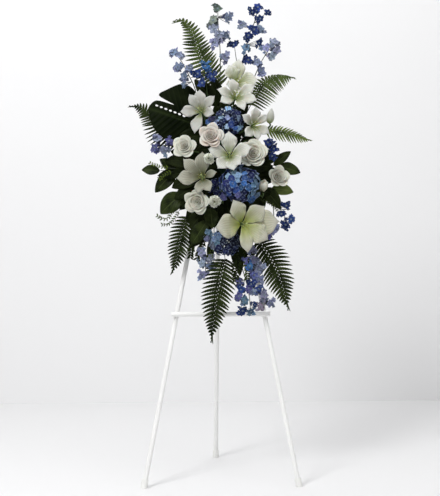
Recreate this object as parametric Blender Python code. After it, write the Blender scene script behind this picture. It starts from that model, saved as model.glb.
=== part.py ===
"""Standing funeral spray: flowers and foliage in a foam cage, carried by a white folding tripod easel.

Metres, +Z up. The viewer stands at -Y and +X is to the viewer's right. The origin is on the floor under the
middle of the whole object. The two front legs lean back to the head, where the rear leg hinges.
"""
from collections import namedtuple
from math import atan2, cos, pi, radians, sin, sqrt

import bmesh
import bpy
from mathutils import Euler, Matrix, Vector
from mathutils.geometry import interpolate_bezier

# Clearance between pieces that touch.
GAP = 0.0003
# Brings the middle of the whole object over the origin.
DEPTH_SHIFT = -0.0176

# Easel
FRONT_HALF_SPAN = 0.261
FRONT_FOOT_Y = -0.200
APEX_HEIGHT = 1.340
LEG_TOP_HEIGHT = 1.288
LEG_RADIUS = 0.008
TUBE_WALL = 0.0012
LEG_SIDES = 10
CROSSBAR_HEIGHT = 0.574
CROSSBAR_HALF_LENGTH = 0.168
CAP_RADIUS = 0.011
CAP_HEIGHT = 0.030
CAP_FLOOR = 0.006
HEAD_HEIGHT = 1.266
HEAD_HALF_WIDTH = 0.021
HEAD_PLATE = 0.003
PIN_SETBACK = 0.0243
PIN_RADIUS = 0.003
CHEEK_INNER = 0.0088
CHEEK_THICKNESS = 0.003
REAR_FOOT_Y = 0.278
REAR_LEG_TOP = 0.009
STOP_DISTANCE = 0.022

# Foam cage, in the sloping plane of the front legs
CAGE_HEIGHT = 1.070
FOAM_HALF = Vector((0.067, 0.040, 0.115))
TRAY_WALL = 0.003
TRAY_RIM = 0.022
TIE_ROOM = 0.0025
HOOP_WIDTH = 0.005
HOOP_THICKNESS = 0.002
HOOP_OFFSETS = (-0.055, 0.055)
TIE_OFFSETS = (-0.010, 0.070)
TIE_WIDTH = 0.0048
TIE_THICKNESS = 0.0012
HOLE_DEPTH = 0.028
HOLE_LEAD = 0.035
HOLE_SIDES = 4

# Distance from a leg's axis to the flat of its tube that faces the viewer or the rear.
LEG_FLAT = LEG_RADIUS * cos(pi / LEG_SIDES)
LEAN = atan2(-FRONT_FOOT_Y, APEX_HEIGHT)
LEAN_TURN = Matrix.Rotation(-LEAN, 4, "X")

WHITE_ENAMEL = ("white_enamel", (0.80, 0.80, 0.79), 0.35, 0.0)
WHITE_PLASTIC = ("white_plastic", (0.78, 0.78, 0.76), 0.50, 0.0)
ZINC = ("zinc", (0.60, 0.60, 0.60), 0.35, 1.0)
GREEN_PLASTIC = ("green_plastic", (0.03, 0.10, 0.04), 0.50, 0.0)
FOAM_GREEN = ("wet_foam", (0.05, 0.16, 0.07), 0.95, 0.0)
FERN_GREEN = ("fern_leaf", (0.035, 0.075, 0.015), 0.55, 0.0)
MONSTERA_GREEN = ("monstera_leaf", (0.008, 0.020, 0.006), 0.30, 0.0)
SALAL_GREEN = ("salal_leaf", (0.030, 0.060, 0.012), 0.45, 0.0)
LILY_WHITE = ("lily_petal", (0.62, 0.60, 0.52), 0.50, 0.0)
ROSE_CREAM = ("rose_petal", (0.68, 0.62, 0.52), 0.60, 0.0)
CARNATION_WHITE = ("carnation_petal", (0.60, 0.62, 0.48), 0.65, 0.0)
HYDRANGEA_BLUE = ("hydrangea_floret", (0.05, 0.08, 0.32), 0.60, 0.0)
DELPHINIUM_BLUE = ("delphinium_floret", (0.10, 0.11, 0.38), 0.55, 0.0)


def clear_scene():
    for thing in list(bpy.data.objects):
        bpy.data.objects.remove(thing, do_unlink=True)


def finish_for(look):
    name, colour, roughness, metallic = look
    finish = bpy.data.materials.get(name)
    if finish is None:
        finish = bpy.data.materials.new(name)
        finish.use_nodes = True
        shader = finish.node_tree.nodes["Principled BSDF"]
        shader.inputs["Base Color"].default_value = (*colour, 1.0)
        shader.inputs["Roughness"].default_value = roughness
        shader.inputs["Metallic"].default_value = metallic
    return finish


def piece(name, mesh, look, place=Matrix.Identity(4), smooth=None):
    """An object from a bmesh, with its finish, at its place; smooth is the shading angle in degrees."""
    if isinstance(mesh, bmesh.types.BMesh):
        bmesh.ops.recalc_face_normals(mesh, faces=mesh.faces[:])
        built = bpy.data.meshes.new(name)
        mesh.to_mesh(built)
        mesh.free()
        mesh = built
    mesh.materials.clear()
    mesh.materials.append(finish_for(look))
    if smooth is not None:
        mesh.shade_smooth()
        mesh.set_sharp_from_angle(angle=radians(smooth))
    thing = bpy.data.objects.new(name, mesh)
    thing.matrix_world = place
    bpy.context.scene.collection.objects.link(thing)
    return thing


def boolean(base, others, operation, solver):
    """Applies one Boolean of base with all the other objects, which are then removed."""
    group = bpy.data.collections.new("group")
    for other in others:
        for home in list(other.users_collection):
            home.objects.unlink(other)
        group.objects.link(other)
    bpy.context.scene.collection.children.link(group)
    cut = base.modifiers.new("Boolean", "BOOLEAN")
    cut.operation = operation
    cut.solver = solver
    cut.operand_type = "COLLECTION"
    cut.collection = group
    bpy.context.view_layer.update()
    shape = bpy.data.meshes.new_from_object(base.evaluated_get(bpy.context.evaluated_depsgraph_get()))
    base.modifiers.remove(cut)
    base.data = shape
    for other in others:
        bpy.data.objects.remove(other, do_unlink=True)
    bpy.data.collections.remove(group)
    return base


def fuse(name, look, parts, place, smooth=None):
    """One solid from several closed bmeshes that overlap, in the same local frame."""
    things = [piece(f"{name}_{index}", part, look) for index, part in enumerate(parts)]
    joined = boolean(things[0], things[1:], "UNION", "MANIFOLD")
    shape = joined.data
    bpy.data.objects.remove(joined, do_unlink=True)
    shape.name = name
    return piece(name, shape, look, place, smooth)


# Shapes that several pieces share

def across(direction, hint):
    """The unit vector square to direction that lies nearest to hint."""
    side = hint - direction * hint.dot(direction)
    if side.length < 1e-6:
        side = direction.orthogonal()
    return side.normalized()


def ring_along(mesh, centre, axis, hint, radius, sides):
    side = across(axis, hint)
    other = axis.cross(side)
    angles = [2 * pi * k / sides for k in range(sides)]
    return [mesh.verts.new(centre + radius * (side * cos(a) + other * sin(a))) for a in angles]


def add_tube(mesh, points, radii, sides, hint=Vector((0.0, -1.0, 0.02))):
    """A closed round bar along the points, with a radius for each of them."""
    rings = []
    last = len(points) - 1
    for index, point in enumerate(points):
        axis = (points[min(index + 1, last)] - points[max(index - 1, 0)]).normalized()
        rings.append(ring_along(mesh, point, axis, hint, radii[index], sides))
    for low, high in zip(rings, rings[1:]):
        for k in range(sides):
            n = (k + 1) % sides
            mesh.faces.new((low[k], low[n], high[n], high[k]))
    mesh.faces.new(rings[0][::-1])
    mesh.faces.new(rings[-1])


def tube_mesh(points, radii, sides):
    mesh = bmesh.new()
    add_tube(mesh, points, radii, sides)
    return mesh


def box_mesh(low, high):
    mesh = bmesh.new()
    bmesh.ops.create_cube(mesh, size=1.0)
    for vert in mesh.verts:
        vert.co = Vector(low[k] + (high[k] - low[k]) * (vert.co[k] + 0.5) for k in range(3))
    return mesh


def smooth_path(points, steps):
    """Points read from a smooth curve through the given ones."""
    path = [points[0]]
    last = len(points) - 1
    slopes = [(points[min(k + 1, last)] - points[max(k - 1, 0)]) / 6.0 for k in range(last + 1)]
    for k in range(last):
        run = interpolate_bezier(points[k], points[k] + slopes[k], points[k + 1] - slopes[k + 1],
                                 points[k + 1], steps + 1)
        path.extend(run[1:])
    return path


def evenly(path, count):
    """count + 1 points spaced evenly along a path."""
    lengths = [0.0]
    for a, b in zip(path, path[1:]):
        lengths.append(lengths[-1] + (b - a).length)
    spots = []
    k = 0
    for step in range(count + 1):
        reach = lengths[-1] * step / count
        while k < len(path) - 2 and lengths[k + 1] < reach:
            k += 1
        share = (reach - lengths[k]) / (lengths[k + 1] - lengths[k])
        spots.append(path[k].lerp(path[k + 1], share))
    return spots


def blade_mesh(surface, rows, columns, thickness, pointed_ends):
    """A thin closed blade over surface(along, across), along 0 to 1 and across -1 to 1.

    pointed_ends says whether the start and the tip come to a point."""
    mesh = bmesh.new()
    bmesh.ops.create_grid(mesh, x_segments=rows, y_segments=columns, size=0.5)
    for vert in mesh.verts:
        vert.co = surface(vert.co.x + 0.5, vert.co.y * 2)
    if any(pointed_ends):
        bmesh.ops.remove_doubles(mesh, verts=mesh.verts[:], dist=0.0002)
    bmesh.ops.triangulate(mesh, faces=mesh.faces[:])
    bmesh.ops.solidify(mesh, geom=mesh.faces[:], thickness=thickness)
    bmesh.ops.recalc_face_normals(mesh, faces=mesh.faces[:])
    return mesh


# Places in the foam and on the leg plane

def leg_plane(height):
    """The frame on the front legs' plane at a height: X across, Y back, Z up the slope."""
    return Matrix.Translation((0.0, FRONT_FOOT_Y * (1.0 - height / APEX_HEIGHT), height)) @ LEAN_TURN


TRAY_BACK_Y = -(LEG_FLAT + GAP)
FOAM_SETBACK = TRAY_BACK_Y - TRAY_WALL - TIE_ROOM - GAP - FOAM_HALF.y
FOAM_FRAME = leg_plane(CAGE_HEIGHT) @ Matrix.Translation((0.0, FOAM_SETBACK, 0.0))


def foam_spot(x, z, y=-1.0):
    """A point of the foam in world metres; y runs from -1 at the front face to 1 at the back."""
    return FOAM_FRAME @ Vector((x, y * FOAM_HALF.y, z))


HOLES = []


def rooted(spot, toward, radius):
    """The end of a stem inside the foam, for a stem that leaves it at spot; its hole is noted."""
    into = (spot - toward).normalized()
    HOLES.append((spot - into * HOLE_LEAD, spot + into * (HOLE_DEPTH + GAP), radius))
    return spot + into * (HOLE_DEPTH - GAP)


# Easel

def front_leg_axis(side):
    foot = Vector((side * FRONT_HALF_SPAN, FRONT_FOOT_Y, 0.0))
    return (Vector((0.0, 0.0, APEX_HEIGHT)) - foot).normalized()


def leg_frame(foot, axis):
    """A frame with its origin at the foot on the floor and its Z along the leg."""
    side = across(axis, Vector((1.0, 0.0, 0.0)))
    back = axis.cross(side)
    turn = Matrix((side, back, axis)).transposed().to_4x4()
    return Matrix.Translation(foot) @ turn


def leg_tube(name, frame, start, end, look=WHITE_ENAMEL):
    """A hollow leg between two distances along its frame's Z."""
    mesh = bmesh.new()
    rings = []
    for radius, height in ((LEG_RADIUS, start), (LEG_RADIUS, end), (LEG_RADIUS - TUBE_WALL, end),
                           (LEG_RADIUS - TUBE_WALL, start)):
        rings.append(ring_along(mesh, Vector((0.0, 0.0, height)), Vector((0.0, 0.0, 1.0)),
                                Vector((1.0, 0.0, 0.0)), radius, LEG_SIDES))
    for low, high in zip(rings, rings[1:] + rings[:1]):
        for k in range(LEG_SIDES):
            n = (k + 1) % LEG_SIDES
            mesh.faces.new((low[k], low[n], high[n], high[k]))
    return piece(name, mesh, look, frame, smooth=40)


def foot_cap(name, frame):
    """A cap over a leg's lower end, cut level with the floor."""
    mesh = bmesh.new()
    up = Vector((0.0, 0.0, 1.0))
    hint = Vector((1.0, 0.0, 0.0))
    bore = LEG_RADIUS + GAP
    rings = [ring_along(mesh, up * height, up, hint, radius, LEG_SIDES)
             for radius, height in ((CAP_RADIUS, -0.010), (CAP_RADIUS, CAP_HEIGHT - 0.003),
                                    (CAP_RADIUS - 0.001, CAP_HEIGHT), (bore, CAP_HEIGHT), (bore, CAP_FLOOR))]
    for low, high in zip(rings, rings[1:]):
        for k in range(LEG_SIDES):
            n = (k + 1) % LEG_SIDES
            mesh.faces.new((low[k], low[n], high[n], high[k]))
    mesh.faces.new(rings[0][::-1])
    mesh.faces.new(rings[-1])
    floor_point = frame.inverted() @ frame.translation
    floor_normal = frame.to_3x3().inverted() @ up
    sliced = bmesh.ops.bisect_plane(mesh, geom=mesh.verts[:] + mesh.edges[:] + mesh.faces[:], dist=1e-6,
                                    plane_co=floor_point, plane_no=floor_normal, clear_inner=True)
    rim = [edge for edge in sliced["geom_cut"] if isinstance(edge, bmesh.types.BMEdge)]
    bmesh.ops.contextual_create(mesh, geom=rim)
    return piece(name, mesh, WHITE_PLASTIC, frame, smooth=40)


def crossbar():
    frame = leg_plane(CROSSBAR_HEIGHT) @ Matrix.Translation((0.0, -2 * LEG_FLAT - GAP, 0.0))
    frame = frame @ Matrix.Rotation(pi / 2, 4, "Y")
    return leg_tube("crossbar", frame, -CROSSBAR_HALF_LENGTH, CROSSBAR_HALF_LENGTH)


HEAD_FRAME = leg_plane(HEAD_HEIGHT)
PIVOT = HEAD_FRAME @ Vector((0.0, PIN_SETBACK, 0.0))
REAR_FOOT = Vector((0.0, REAR_FOOT_Y, 0.0))
REAR_AXIS = (PIVOT - REAR_FOOT).normalized()
REAR_LENGTH = (PIVOT - REAR_FOOT).length


def pin_cylinder(radius, half_length):
    """A bar along X through the origin."""
    ends = [Vector((side * half_length, 0.0, 0.0)) for side in (-1, 1)]
    return tube_mesh(ends, (radius, radius), 8)


def head_bracket():
    """A plate behind both front legs with two cheeks for the hinge pin and a web that stops the rear leg."""
    plate_front = LEG_FLAT + GAP
    plate_back = plate_front + HEAD_PLATE
    cheek_outer = CHEEK_INNER + CHEEK_THICKNESS
    plate = box_mesh((-HEAD_HALF_WIDTH, plate_front, -0.032), (HEAD_HALF_WIDTH, plate_back, 0.020))
    parts = [plate]
    outline = ((plate_back - 0.001, 0.016), (0.031, 0.016), (0.046, -0.012), (0.040, -0.030),
               (plate_back - 0.001, -0.030))
    for side in (-1, 1):
        cheek = bmesh.new()
        inner = [cheek.verts.new((side * CHEEK_INNER, y, z)) for y, z in outline]
        outer = [cheek.verts.new((side * cheek_outer, y, z)) for y, z in outline]
        cheek.faces.new(inner)
        cheek.faces.new(outer[::-1])
        for k in range(len(outline)):
            n = (k + 1) % len(outline)
            cheek.faces.new((inner[k], inner[n], outer[n], outer[k]))
        parts.append(cheek)
    web = box_mesh((-cheek_outer + 0.001, LEG_RADIUS + GAP, -0.005),
                   (cheek_outer - 0.001, LEG_RADIUS + GAP + 0.0025, 0.005))
    leg_in_head = HEAD_FRAME.inverted().to_3x3() @ -REAR_AXIS
    opening = atan2(leg_in_head.y, -leg_in_head.z)
    web.transform(Matrix.Translation((0.0, PIN_SETBACK, 0.0)) @ Matrix.Rotation(opening, 4, "X")
                  @ Matrix.Translation((0.0, 0.0, -STOP_DISTANCE)))
    parts.append(web)
    bracket = fuse("head_bracket", WHITE_ENAMEL, parts, HEAD_FRAME)
    bore = piece("pin_bore", pin_cylinder(PIN_RADIUS + GAP, 0.03), ZINC,
                 HEAD_FRAME @ Matrix.Translation((0.0, PIN_SETBACK, 0.0)))
    return boolean(bracket, [bore], "DIFFERENCE", "EXACT")


def hinge_pin():
    shank = pin_cylinder(PIN_RADIUS, CHEEK_INNER + CHEEK_THICKNESS + 0.0012)
    parts = [shank]
    for side in (-1, 1):
        start = CHEEK_INNER + CHEEK_THICKNESS + GAP
        ends = [Vector((side * (start + reach), 0.0, 0.0)) for reach in (0.0, 0.0016)]
        parts.append(tube_mesh(ends, (0.005, 0.0035), 8))
    return fuse("hinge_pin", ZINC, parts, Matrix.Translation(PIVOT), smooth=40)


def rear_leg():
    frame = leg_frame(PIVOT, REAR_AXIS)
    leg = leg_tube("rear_leg", frame, CAP_FLOOR + GAP - REAR_LENGTH, REAR_LEG_TOP)
    bore = piece("leg_bore", pin_cylinder(PIN_RADIUS + GAP, 0.03), ZINC, Matrix.Translation(PIVOT))
    return boolean(leg, [bore], "DIFFERENCE", "EXACT")


def easel():
    for side, word in ((-1, "left"), (1, "right")):
        foot = Vector((side * FRONT_HALF_SPAN, FRONT_FOOT_Y, 0.0))
        frame = leg_frame(foot, front_leg_axis(side))
        leg_tube(f"front_leg_{word}", frame, CAP_FLOOR + GAP, LEG_TOP_HEIGHT / front_leg_axis(side).z)
        foot_cap(f"foot_cap_{word}", frame)
    crossbar()
    head_bracket()
    hinge_pin()
    rear_leg()
    foot_cap("foot_cap_rear", leg_frame(REAR_FOOT, REAR_AXIS))


# Foam and its cage

def tie_places():
    """The side, height on the leg plane and middle X of each cable tie."""
    for side in (-1, 1):
        for offset in TIE_OFFSETS:
            height = CAGE_HEIGHT + offset * cos(LEAN)
            yield side, offset, side * FRONT_HALF_SPAN * (1.0 - height / APEX_HEIGHT)


def tie_loop_radius():
    return LEG_RADIUS * 1.02 + 2 * GAP


def foam_cage():
    """A tray behind the foam with a rim round it and two hoops over its front."""
    inner = Vector((FOAM_HALF.x + GAP, 0.0, FOAM_HALF.z + GAP))
    back = FOAM_HALF.y + GAP + TIE_ROOM + TRAY_WALL
    rim_front = FOAM_HALF.y - TRAY_RIM
    tray = box_mesh((-inner.x - TRAY_WALL, rim_front, -inner.z - TRAY_WALL),
                    (inner.x + TRAY_WALL, back, inner.z + TRAY_WALL))
    hollow = box_mesh((-inner.x, rim_front - 0.01, -inner.z), (inner.x, back - TRAY_WALL, inner.z))
    cage = boolean(piece("foam_cage", tray, GREEN_PLASTIC), [piece("hollow", hollow, GREEN_PLASTIC)],
                   "DIFFERENCE", "EXACT")
    shape = cage.data
    bpy.data.objects.remove(cage, do_unlink=True)
    parts = [shape]
    for offset in (-0.080, 0.030, 0.100):
        parts.append(box_mesh((-inner.x - 0.001, FOAM_HALF.y + GAP, offset - 0.002),
                              (inner.x + 0.001, back - TRAY_WALL + 0.001, offset + 0.002)))
    front = -FOAM_HALF.y - GAP
    for offset in HOOP_OFFSETS:
        low, high = offset - HOOP_WIDTH / 2, offset + HOOP_WIDTH / 2
        parts.append(box_mesh((-inner.x - HOOP_THICKNESS, front - HOOP_THICKNESS, low),
                              (inner.x + HOOP_THICKNESS, front, high)))
        for side in (-1, 1):
            ends = sorted((side * inner.x, side * (inner.x + HOOP_THICKNESS)))
            parts.append(box_mesh((ends[0], front - HOOP_THICKNESS / 2, low),
                                  (ends[1], rim_front + 0.004, high)))
    cage = fuse("foam_cage", GREEN_PLASTIC, parts, FOAM_FRAME)
    slots = []
    half = TIE_THICKNESS / 2 + GAP
    for side, offset, x in tie_places():
        for turn in (-1, 1):
            centre = x + turn * (tie_loop_radius() + TIE_THICKNESS / 2)
            slot = box_mesh((centre - half, back - TRAY_WALL - 0.001, offset - TIE_WIDTH / 2 - GAP),
                            (centre + half, back + 0.001, offset + TIE_WIDTH / 2 + GAP))
            slots.append(piece("slot", slot, GREEN_PLASTIC, FOAM_FRAME))
    return boolean(cage, slots, "DIFFERENCE", "EXACT")


def cable_tie(name, offset, x):
    """A flat loop round a leg and through two slots in the tray, across the front of the tray's back wall."""
    frame = FOAM_FRAME @ Matrix.Translation((x, -FOAM_SETBACK, offset))
    strap_y = TRAY_BACK_Y - TRAY_WALL - GAP
    inner_radius = tie_loop_radius()
    turns = [pi * k / 5 for k in range(6)]
    loops = []
    for grow in (0.0, TIE_THICKNESS):
        radius = inner_radius + grow
        loop = [(radius * cos(a), radius * sin(a)) for a in turns]
        loop += [(-radius, strap_y - grow), (radius, strap_y - grow)]
        loops.append(loop)
    mesh = bmesh.new()
    rows = [[mesh.verts.new((px, py, z)) for px, py in loop]
            for loop, z in ((loops[0], -TIE_WIDTH / 2), (loops[1], -TIE_WIDTH / 2),
                            (loops[1], TIE_WIDTH / 2), (loops[0], TIE_WIDTH / 2))]
    count = len(rows[0])
    for low, high in zip(rows, rows[1:] + rows[:1]):
        for k in range(count):
            n = (k + 1) % count
            mesh.faces.new((low[k], low[n], high[n], high[k]))
    return piece(name, mesh, WHITE_PLASTIC, frame, smooth=40)


def foam_block():
    """The foam, with a plain hole for every stem."""
    block = piece("foam_block", box_mesh(-FOAM_HALF, FOAM_HALF), FOAM_GREEN, FOAM_FRAME)
    cutters = []
    for start, end, radius in HOLES:
        wide = (radius + GAP) / cos(pi / HOLE_SIDES)
        cutters.append(piece("stem_hole", tube_mesh((start, end), (wide, wide), HOLE_SIDES), FOAM_GREEN))
    return boolean(block, cutters, "DIFFERENCE", "EXACT")


def cage_and_foam():
    foam_cage()
    words = {-1: "left", 1: "right"}
    for side, offset, x in tie_places():
        level = "lower" if offset == TIE_OFFSETS[0] else "upper"
        cable_tie(f"cable_tie_{words[side]}_{level}", offset, x)
    foam_block()


# Stems of single blooms

def facing_frame(place, yaw, pitch, roll=0.0):
    """A frame at place whose Z faces the viewer, turned to the right by yaw and up by pitch, in degrees."""
    turn = Euler((radians(90.0 - pitch), 0.0, radians(yaw)), "XYZ").to_matrix().to_4x4()
    return Matrix.Translation(place) @ turn @ Matrix.Rotation(radians(roll), 4, "Z")


def bloom_stem(frame, socket, neck, radius, start=0.0):
    """A stem from a bloom's base, back by neck metres, then straight into the foam, in the bloom's frame."""
    base = frame @ Vector((0.0, 0.0, start))
    knee = frame @ Vector((0.0, 0.0, -neck))
    spot = foam_spot(*socket)
    points = [rooted(spot, knee, radius), knee, base]
    into_bloom = frame.inverted()
    return tube_mesh([into_bloom @ point for point in points], (radius, radius, radius), 5)


# Lilies: six petals each, by the turn in degrees and the reach in metres of every petal

Lily = namedtuple("Lily", "place yaw pitch petals socket depth")

LILIES = {
    "lily_top": Lily((0.051, -0.125, 1.350), 20, 76, ((90, 0.050), (30, 0.062), (330, 0.055),
                     (270, 0.050), (210, 0.052), (150, 0.055)), (0.030, 0.115, -0.40), 0.080),
    "lily_upper_left": Lily((-0.066, -0.175, 1.256), -18, 12, ((92, 0.070), (42, 0.070), (345, 0.055),
                            (262, 0.082), (185, 0.066), (125, 0.066)), (-0.038, 0.103), 0.032),
    "lily_upper_middle": Lily((0.048, -0.150, 1.303), 8, 22, ((104, 0.062), (30, 0.074), (345, 0.070),
                              (290, 0.062), (205, 0.066), (165, 0.070)), (0.016, 0.115, -0.80), 0.032),
    "lily_upper_right": Lily((0.105, -0.165, 1.211), 22, 5, ((90, 0.062), (40, 0.055), (330, 0.055),
                             (275, 0.052), (222, 0.058), (148, 0.062)), (0.050, 0.096), 0.030),
    "lily_middle": Lily((0.026, -0.205, 1.108), -5, 14, ((92, 0.080), (20, 0.078), (318, 0.052),
                        (285, 0.055), (222, 0.060), (165, 0.074)), (0.012, 0.022), 0.030),
    "lily_middle_left": Lily((-0.062, -0.195, 1.039), -10, 8, ((90, 0.082), (15, 0.052), (300, 0.060),
                             (258, 0.062), (185, 0.086), (138, 0.086)), (-0.030, -0.022), 0.034),
    "lily_lower_right": Lily((0.070, -0.175, 0.890), 15, 0, ((115, 0.085), (28, 0.118), (352, 0.112),
                             (318, 0.080), (272, 0.092), (190, 0.100)), (0.038, -0.094), 0.045),
}
LILY_STEM = 0.0030
LILY_ROWS = 3
LILY_THROAT = 0.0052
PETAL_THICKNESS = 0.0010


def lily_petal_surface(turn, reach, depth, half_width):
    """A petal that climbs out of the throat and rolls back at its tip, in the bloom's frame."""
    def surface(along, over):
        out = reach * along + LILY_THROAT * (1.0 - along)
        height = depth * sin(pi * 0.62 * along)
        width = half_width * max(0.0, sin(pi * along ** 1.25)) ** 0.8 + 0.0022 * (1.0 - along)
        if along > 0.999:
            width = 0.0
        angle = radians(turn)
        side = over * width
        lift = abs(over) * width * (0.45 - 0.75 * along)
        return Vector((out * cos(angle) - side * sin(angle), out * sin(angle) + side * cos(angle),
                       height + lift))
    return surface


def lily_stamens(depth):
    """Six stamens round a longer style, all sunk in the base."""
    parts = []
    for k in range(6):
        angle = radians(60 * k + 30)
        aside = Vector((cos(angle), sin(angle), 0.0))
        tip = aside * 0.016 + Vector((0.0, 0.0, depth * 1.15))
        parts.append(tube_mesh((aside * 0.002, tip), (0.0008, 0.0024), 3))
    parts.append(tube_mesh((Vector((0.0, 0.0, 0.0)), Vector((0.0, 0.001, depth * 1.35))), (0.0010, 0.0022), 3))
    return parts


def lily(name, bloom):
    frame = facing_frame(Vector(bloom.place), bloom.yaw, bloom.pitch)
    parts = [bloom_stem(frame, bloom.socket, 0.022, LILY_STEM, start=0.002)]
    receptacle = (Vector((0.0, 0.0, -0.010)), Vector((0.0, 0.0, 0.004)))
    parts.append(tube_mesh(receptacle, (0.0034, 0.0078), 5))
    for index, (turn, reach) in enumerate(bloom.petals):
        half_width = reach * (0.27 if index % 2 == 0 else 0.22)
        surface = lily_petal_surface(turn, reach, bloom.depth, half_width)
        parts.append(blade_mesh(surface, LILY_ROWS, 2 - index % 2, PETAL_THICKNESS, (False, True)))
    parts += lily_stamens(bloom.depth)
    return fuse(name, LILY_WHITE, parts, frame, smooth=50)


# Lily bud, roses and carnations: the middle of the face, the way it faces, its radius and its hole in the foam

Bloom = namedtuple("Bloom", "place yaw pitch radius socket")

ROSES = {
    "rose_upper": Bloom((-0.040, -0.205, 1.181), -8, 8, 0.036, (-0.014, 0.078)),
    "rose_left": Bloom((-0.126, -0.160, 1.140), -28, 4, 0.035, (-0.052, 0.036)),
    "rose_lower_left": Bloom((-0.084, -0.190, 0.959), -12, -10, 0.037, (-0.046, -0.082)),
    "rose_right": Bloom((0.113, -0.180, 1.121), 22, 4, 0.038, (0.048, 0.034)),
    "rose_far_right": Bloom((0.198, -0.120, 1.041), 40, -8, 0.033, (0.067, -0.020, -0.55)),
}
ROSE_WHORLS = ((3, 0.52, 118.0, 0.14, 0.0, 0.92), (5, 0.84, 88.0, 0.00, 0.50, 1.10))
BUDS = {
    "rose_bud": Bloom((0.138, -0.165, 1.017), 18, 6, 0.020, (0.055, -0.016)),
}
BUD_WHORLS = ((4, 0.72, 128.0, 0.00, 0.0, 0.92),)
ROSE_STEM = 0.0025
ROSE_PETAL = 0.0010
ROSE_ROOT_TURN = 14.0
ROSE_CORE = ((-0.16, 0.14), (0.06, 0.30), (0.40, 0.24), (0.76, 0.10))

CARNATIONS = {
    "carnation_middle": Bloom((-0.043, -0.232, 1.099), -8, 5, 0.019, (-0.020, 0.010)),
    "carnation_lower": Bloom((-0.024, -0.215, 0.961), -4, -8, 0.022, (-0.012, -0.078)),
}
CARNATION_STEM = 0.0018


def rose_petal_surface(radius, whorl_radius, turn, span, open_to, flare):
    """A cupped petal: one edge lies a little inside the next petal, the other a little outside."""
    shell = radius * whorl_radius

    def surface(along, over):
        polar = radians(ROSE_ROOT_TURN + (open_to - ROSE_ROOT_TURN) * along)
        if along < 0.001:
            over = 0.0
        swing = radians(turn + over * span / 2)
        reach = shell * (1.0 + 0.08 * over + flare * max(0.0, along - 0.5) ** 1.3)
        return Vector((reach * sin(polar) * cos(swing), reach * sin(polar) * sin(swing),
                       shell - reach * cos(polar)))
    return surface


def rose(name, bloom, whorls):
    frame = facing_frame(Vector(bloom.place), bloom.yaw, bloom.pitch)
    size = bloom.radius
    parts = [bloom_stem(frame, bloom.socket, 0.020, ROSE_STEM, start=0.0)]
    parts.append(tube_mesh([Vector((0.0, 0.0, size * height)) for height, _ in ROSE_CORE],
                           [size * wide for _, wide in ROSE_CORE], 6))
    for row, (count, shell, open_to, lift, flare, cover) in enumerate(whorls):
        span = 360.0 / count * cover
        for k in range(count):
            surface = rose_petal_surface(size, shell, 360.0 * k / count + 37.0 * row, span, open_to, flare)
            petal = blade_mesh(surface, 2, 2, ROSE_PETAL, (True, False))
            petal.transform(Matrix.Translation((0.0, 0.0, size * lift)))
            parts.append(petal)
    return fuse(name, ROSE_CREAM, parts, frame, smooth=50)


def ruffle_mesh(radius, base, rise, points, wave, thickness):
    """A ruffled round petal layer: a cone from the base out to a waved rim, alike on both faces."""
    mesh = bmesh.new()
    levels = []
    for drop in (0.0, thickness):
        middle = mesh.verts.new((0.0, 0.0, base - drop))
        rings = []
        for share in (0.5, 1.0):
            ring = []
            for k in range(points):
                angle = 2 * pi * k / points + 0.2
                up = base + rise * share + (wave * share ** 2 if k % 2 else -wave * share ** 2)
                reach = radius * share * (1.0 if k % 2 else 0.92)
                ring.append(mesh.verts.new((reach * cos(angle), reach * sin(angle), up - drop)))
            rings.append(ring)
        levels.append((middle, rings[0], rings[1]))
    for middle, inner, outer in levels:
        for k in range(points):
            n = (k + 1) % points
            mesh.faces.new((middle, inner[k], inner[n]))
            mesh.faces.new((inner[k], outer[k], outer[n]))
            mesh.faces.new((inner[k], outer[n], inner[n]))
    upper, lower = levels[0][2], levels[1][2]
    for k in range(points):
        n = (k + 1) % points
        mesh.faces.new((upper[k], upper[n], lower[n], lower[k]))
    bmesh.ops.recalc_face_normals(mesh, faces=mesh.faces[:])
    return mesh


def carnation(name, bloom):
    frame = facing_frame(Vector(bloom.place), bloom.yaw, bloom.pitch)
    size = bloom.radius
    parts = [bloom_stem(frame, bloom.socket, 0.018, CARNATION_STEM, start=0.001)]
    heights = (-0.30, 0.30)
    parts.append(tube_mesh([Vector((0.0, 0.0, size * h)) for h in heights], (size * 0.16, size * 0.34), 6))
    parts.append(ruffle_mesh(size, size * 0.10, size * 0.30, 10, size * 0.16, 0.0012))
    parts.append(ruffle_mesh(size * 0.66, size * 0.26, size * 0.62, 8, size * 0.16, 0.0012))
    return fuse(name, CARNATION_WHITE, parts, frame, smooth=50)


def lily_bud(name, place, tip, radius, socket):
    """A closed bud: a six-sided spindle that leans from its stem to its tip."""
    base, point = Vector(place), Vector(tip)
    axis = (point - base).normalized()
    stem_end = foam_spot(*socket)
    knee = base - axis * 0.018
    stem = [rooted(stem_end, knee, LILY_STEM), knee, base + axis * 0.004]
    spindle = [base.lerp(point, share) for share in (0.0, 0.25, 0.6, 0.9, 1.0)]
    widths = [radius * share for share in (0.35, 0.85, 1.0, 0.55, 0.12)]
    into = Matrix.Translation(-base)
    parts = [tube_mesh([into @ p for p in stem], (LILY_STEM,) * 3, 5),
             tube_mesh([into @ p for p in spindle], widths, 6)]
    return fuse(name, LILY_WHITE, parts, Matrix.Translation(base), smooth=50)


# Hydrangea heads: middle, facing, half width, half height, half depth, florets and hole in the foam

Head = namedtuple("Head", "place yaw pitch half florets socket")

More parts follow.
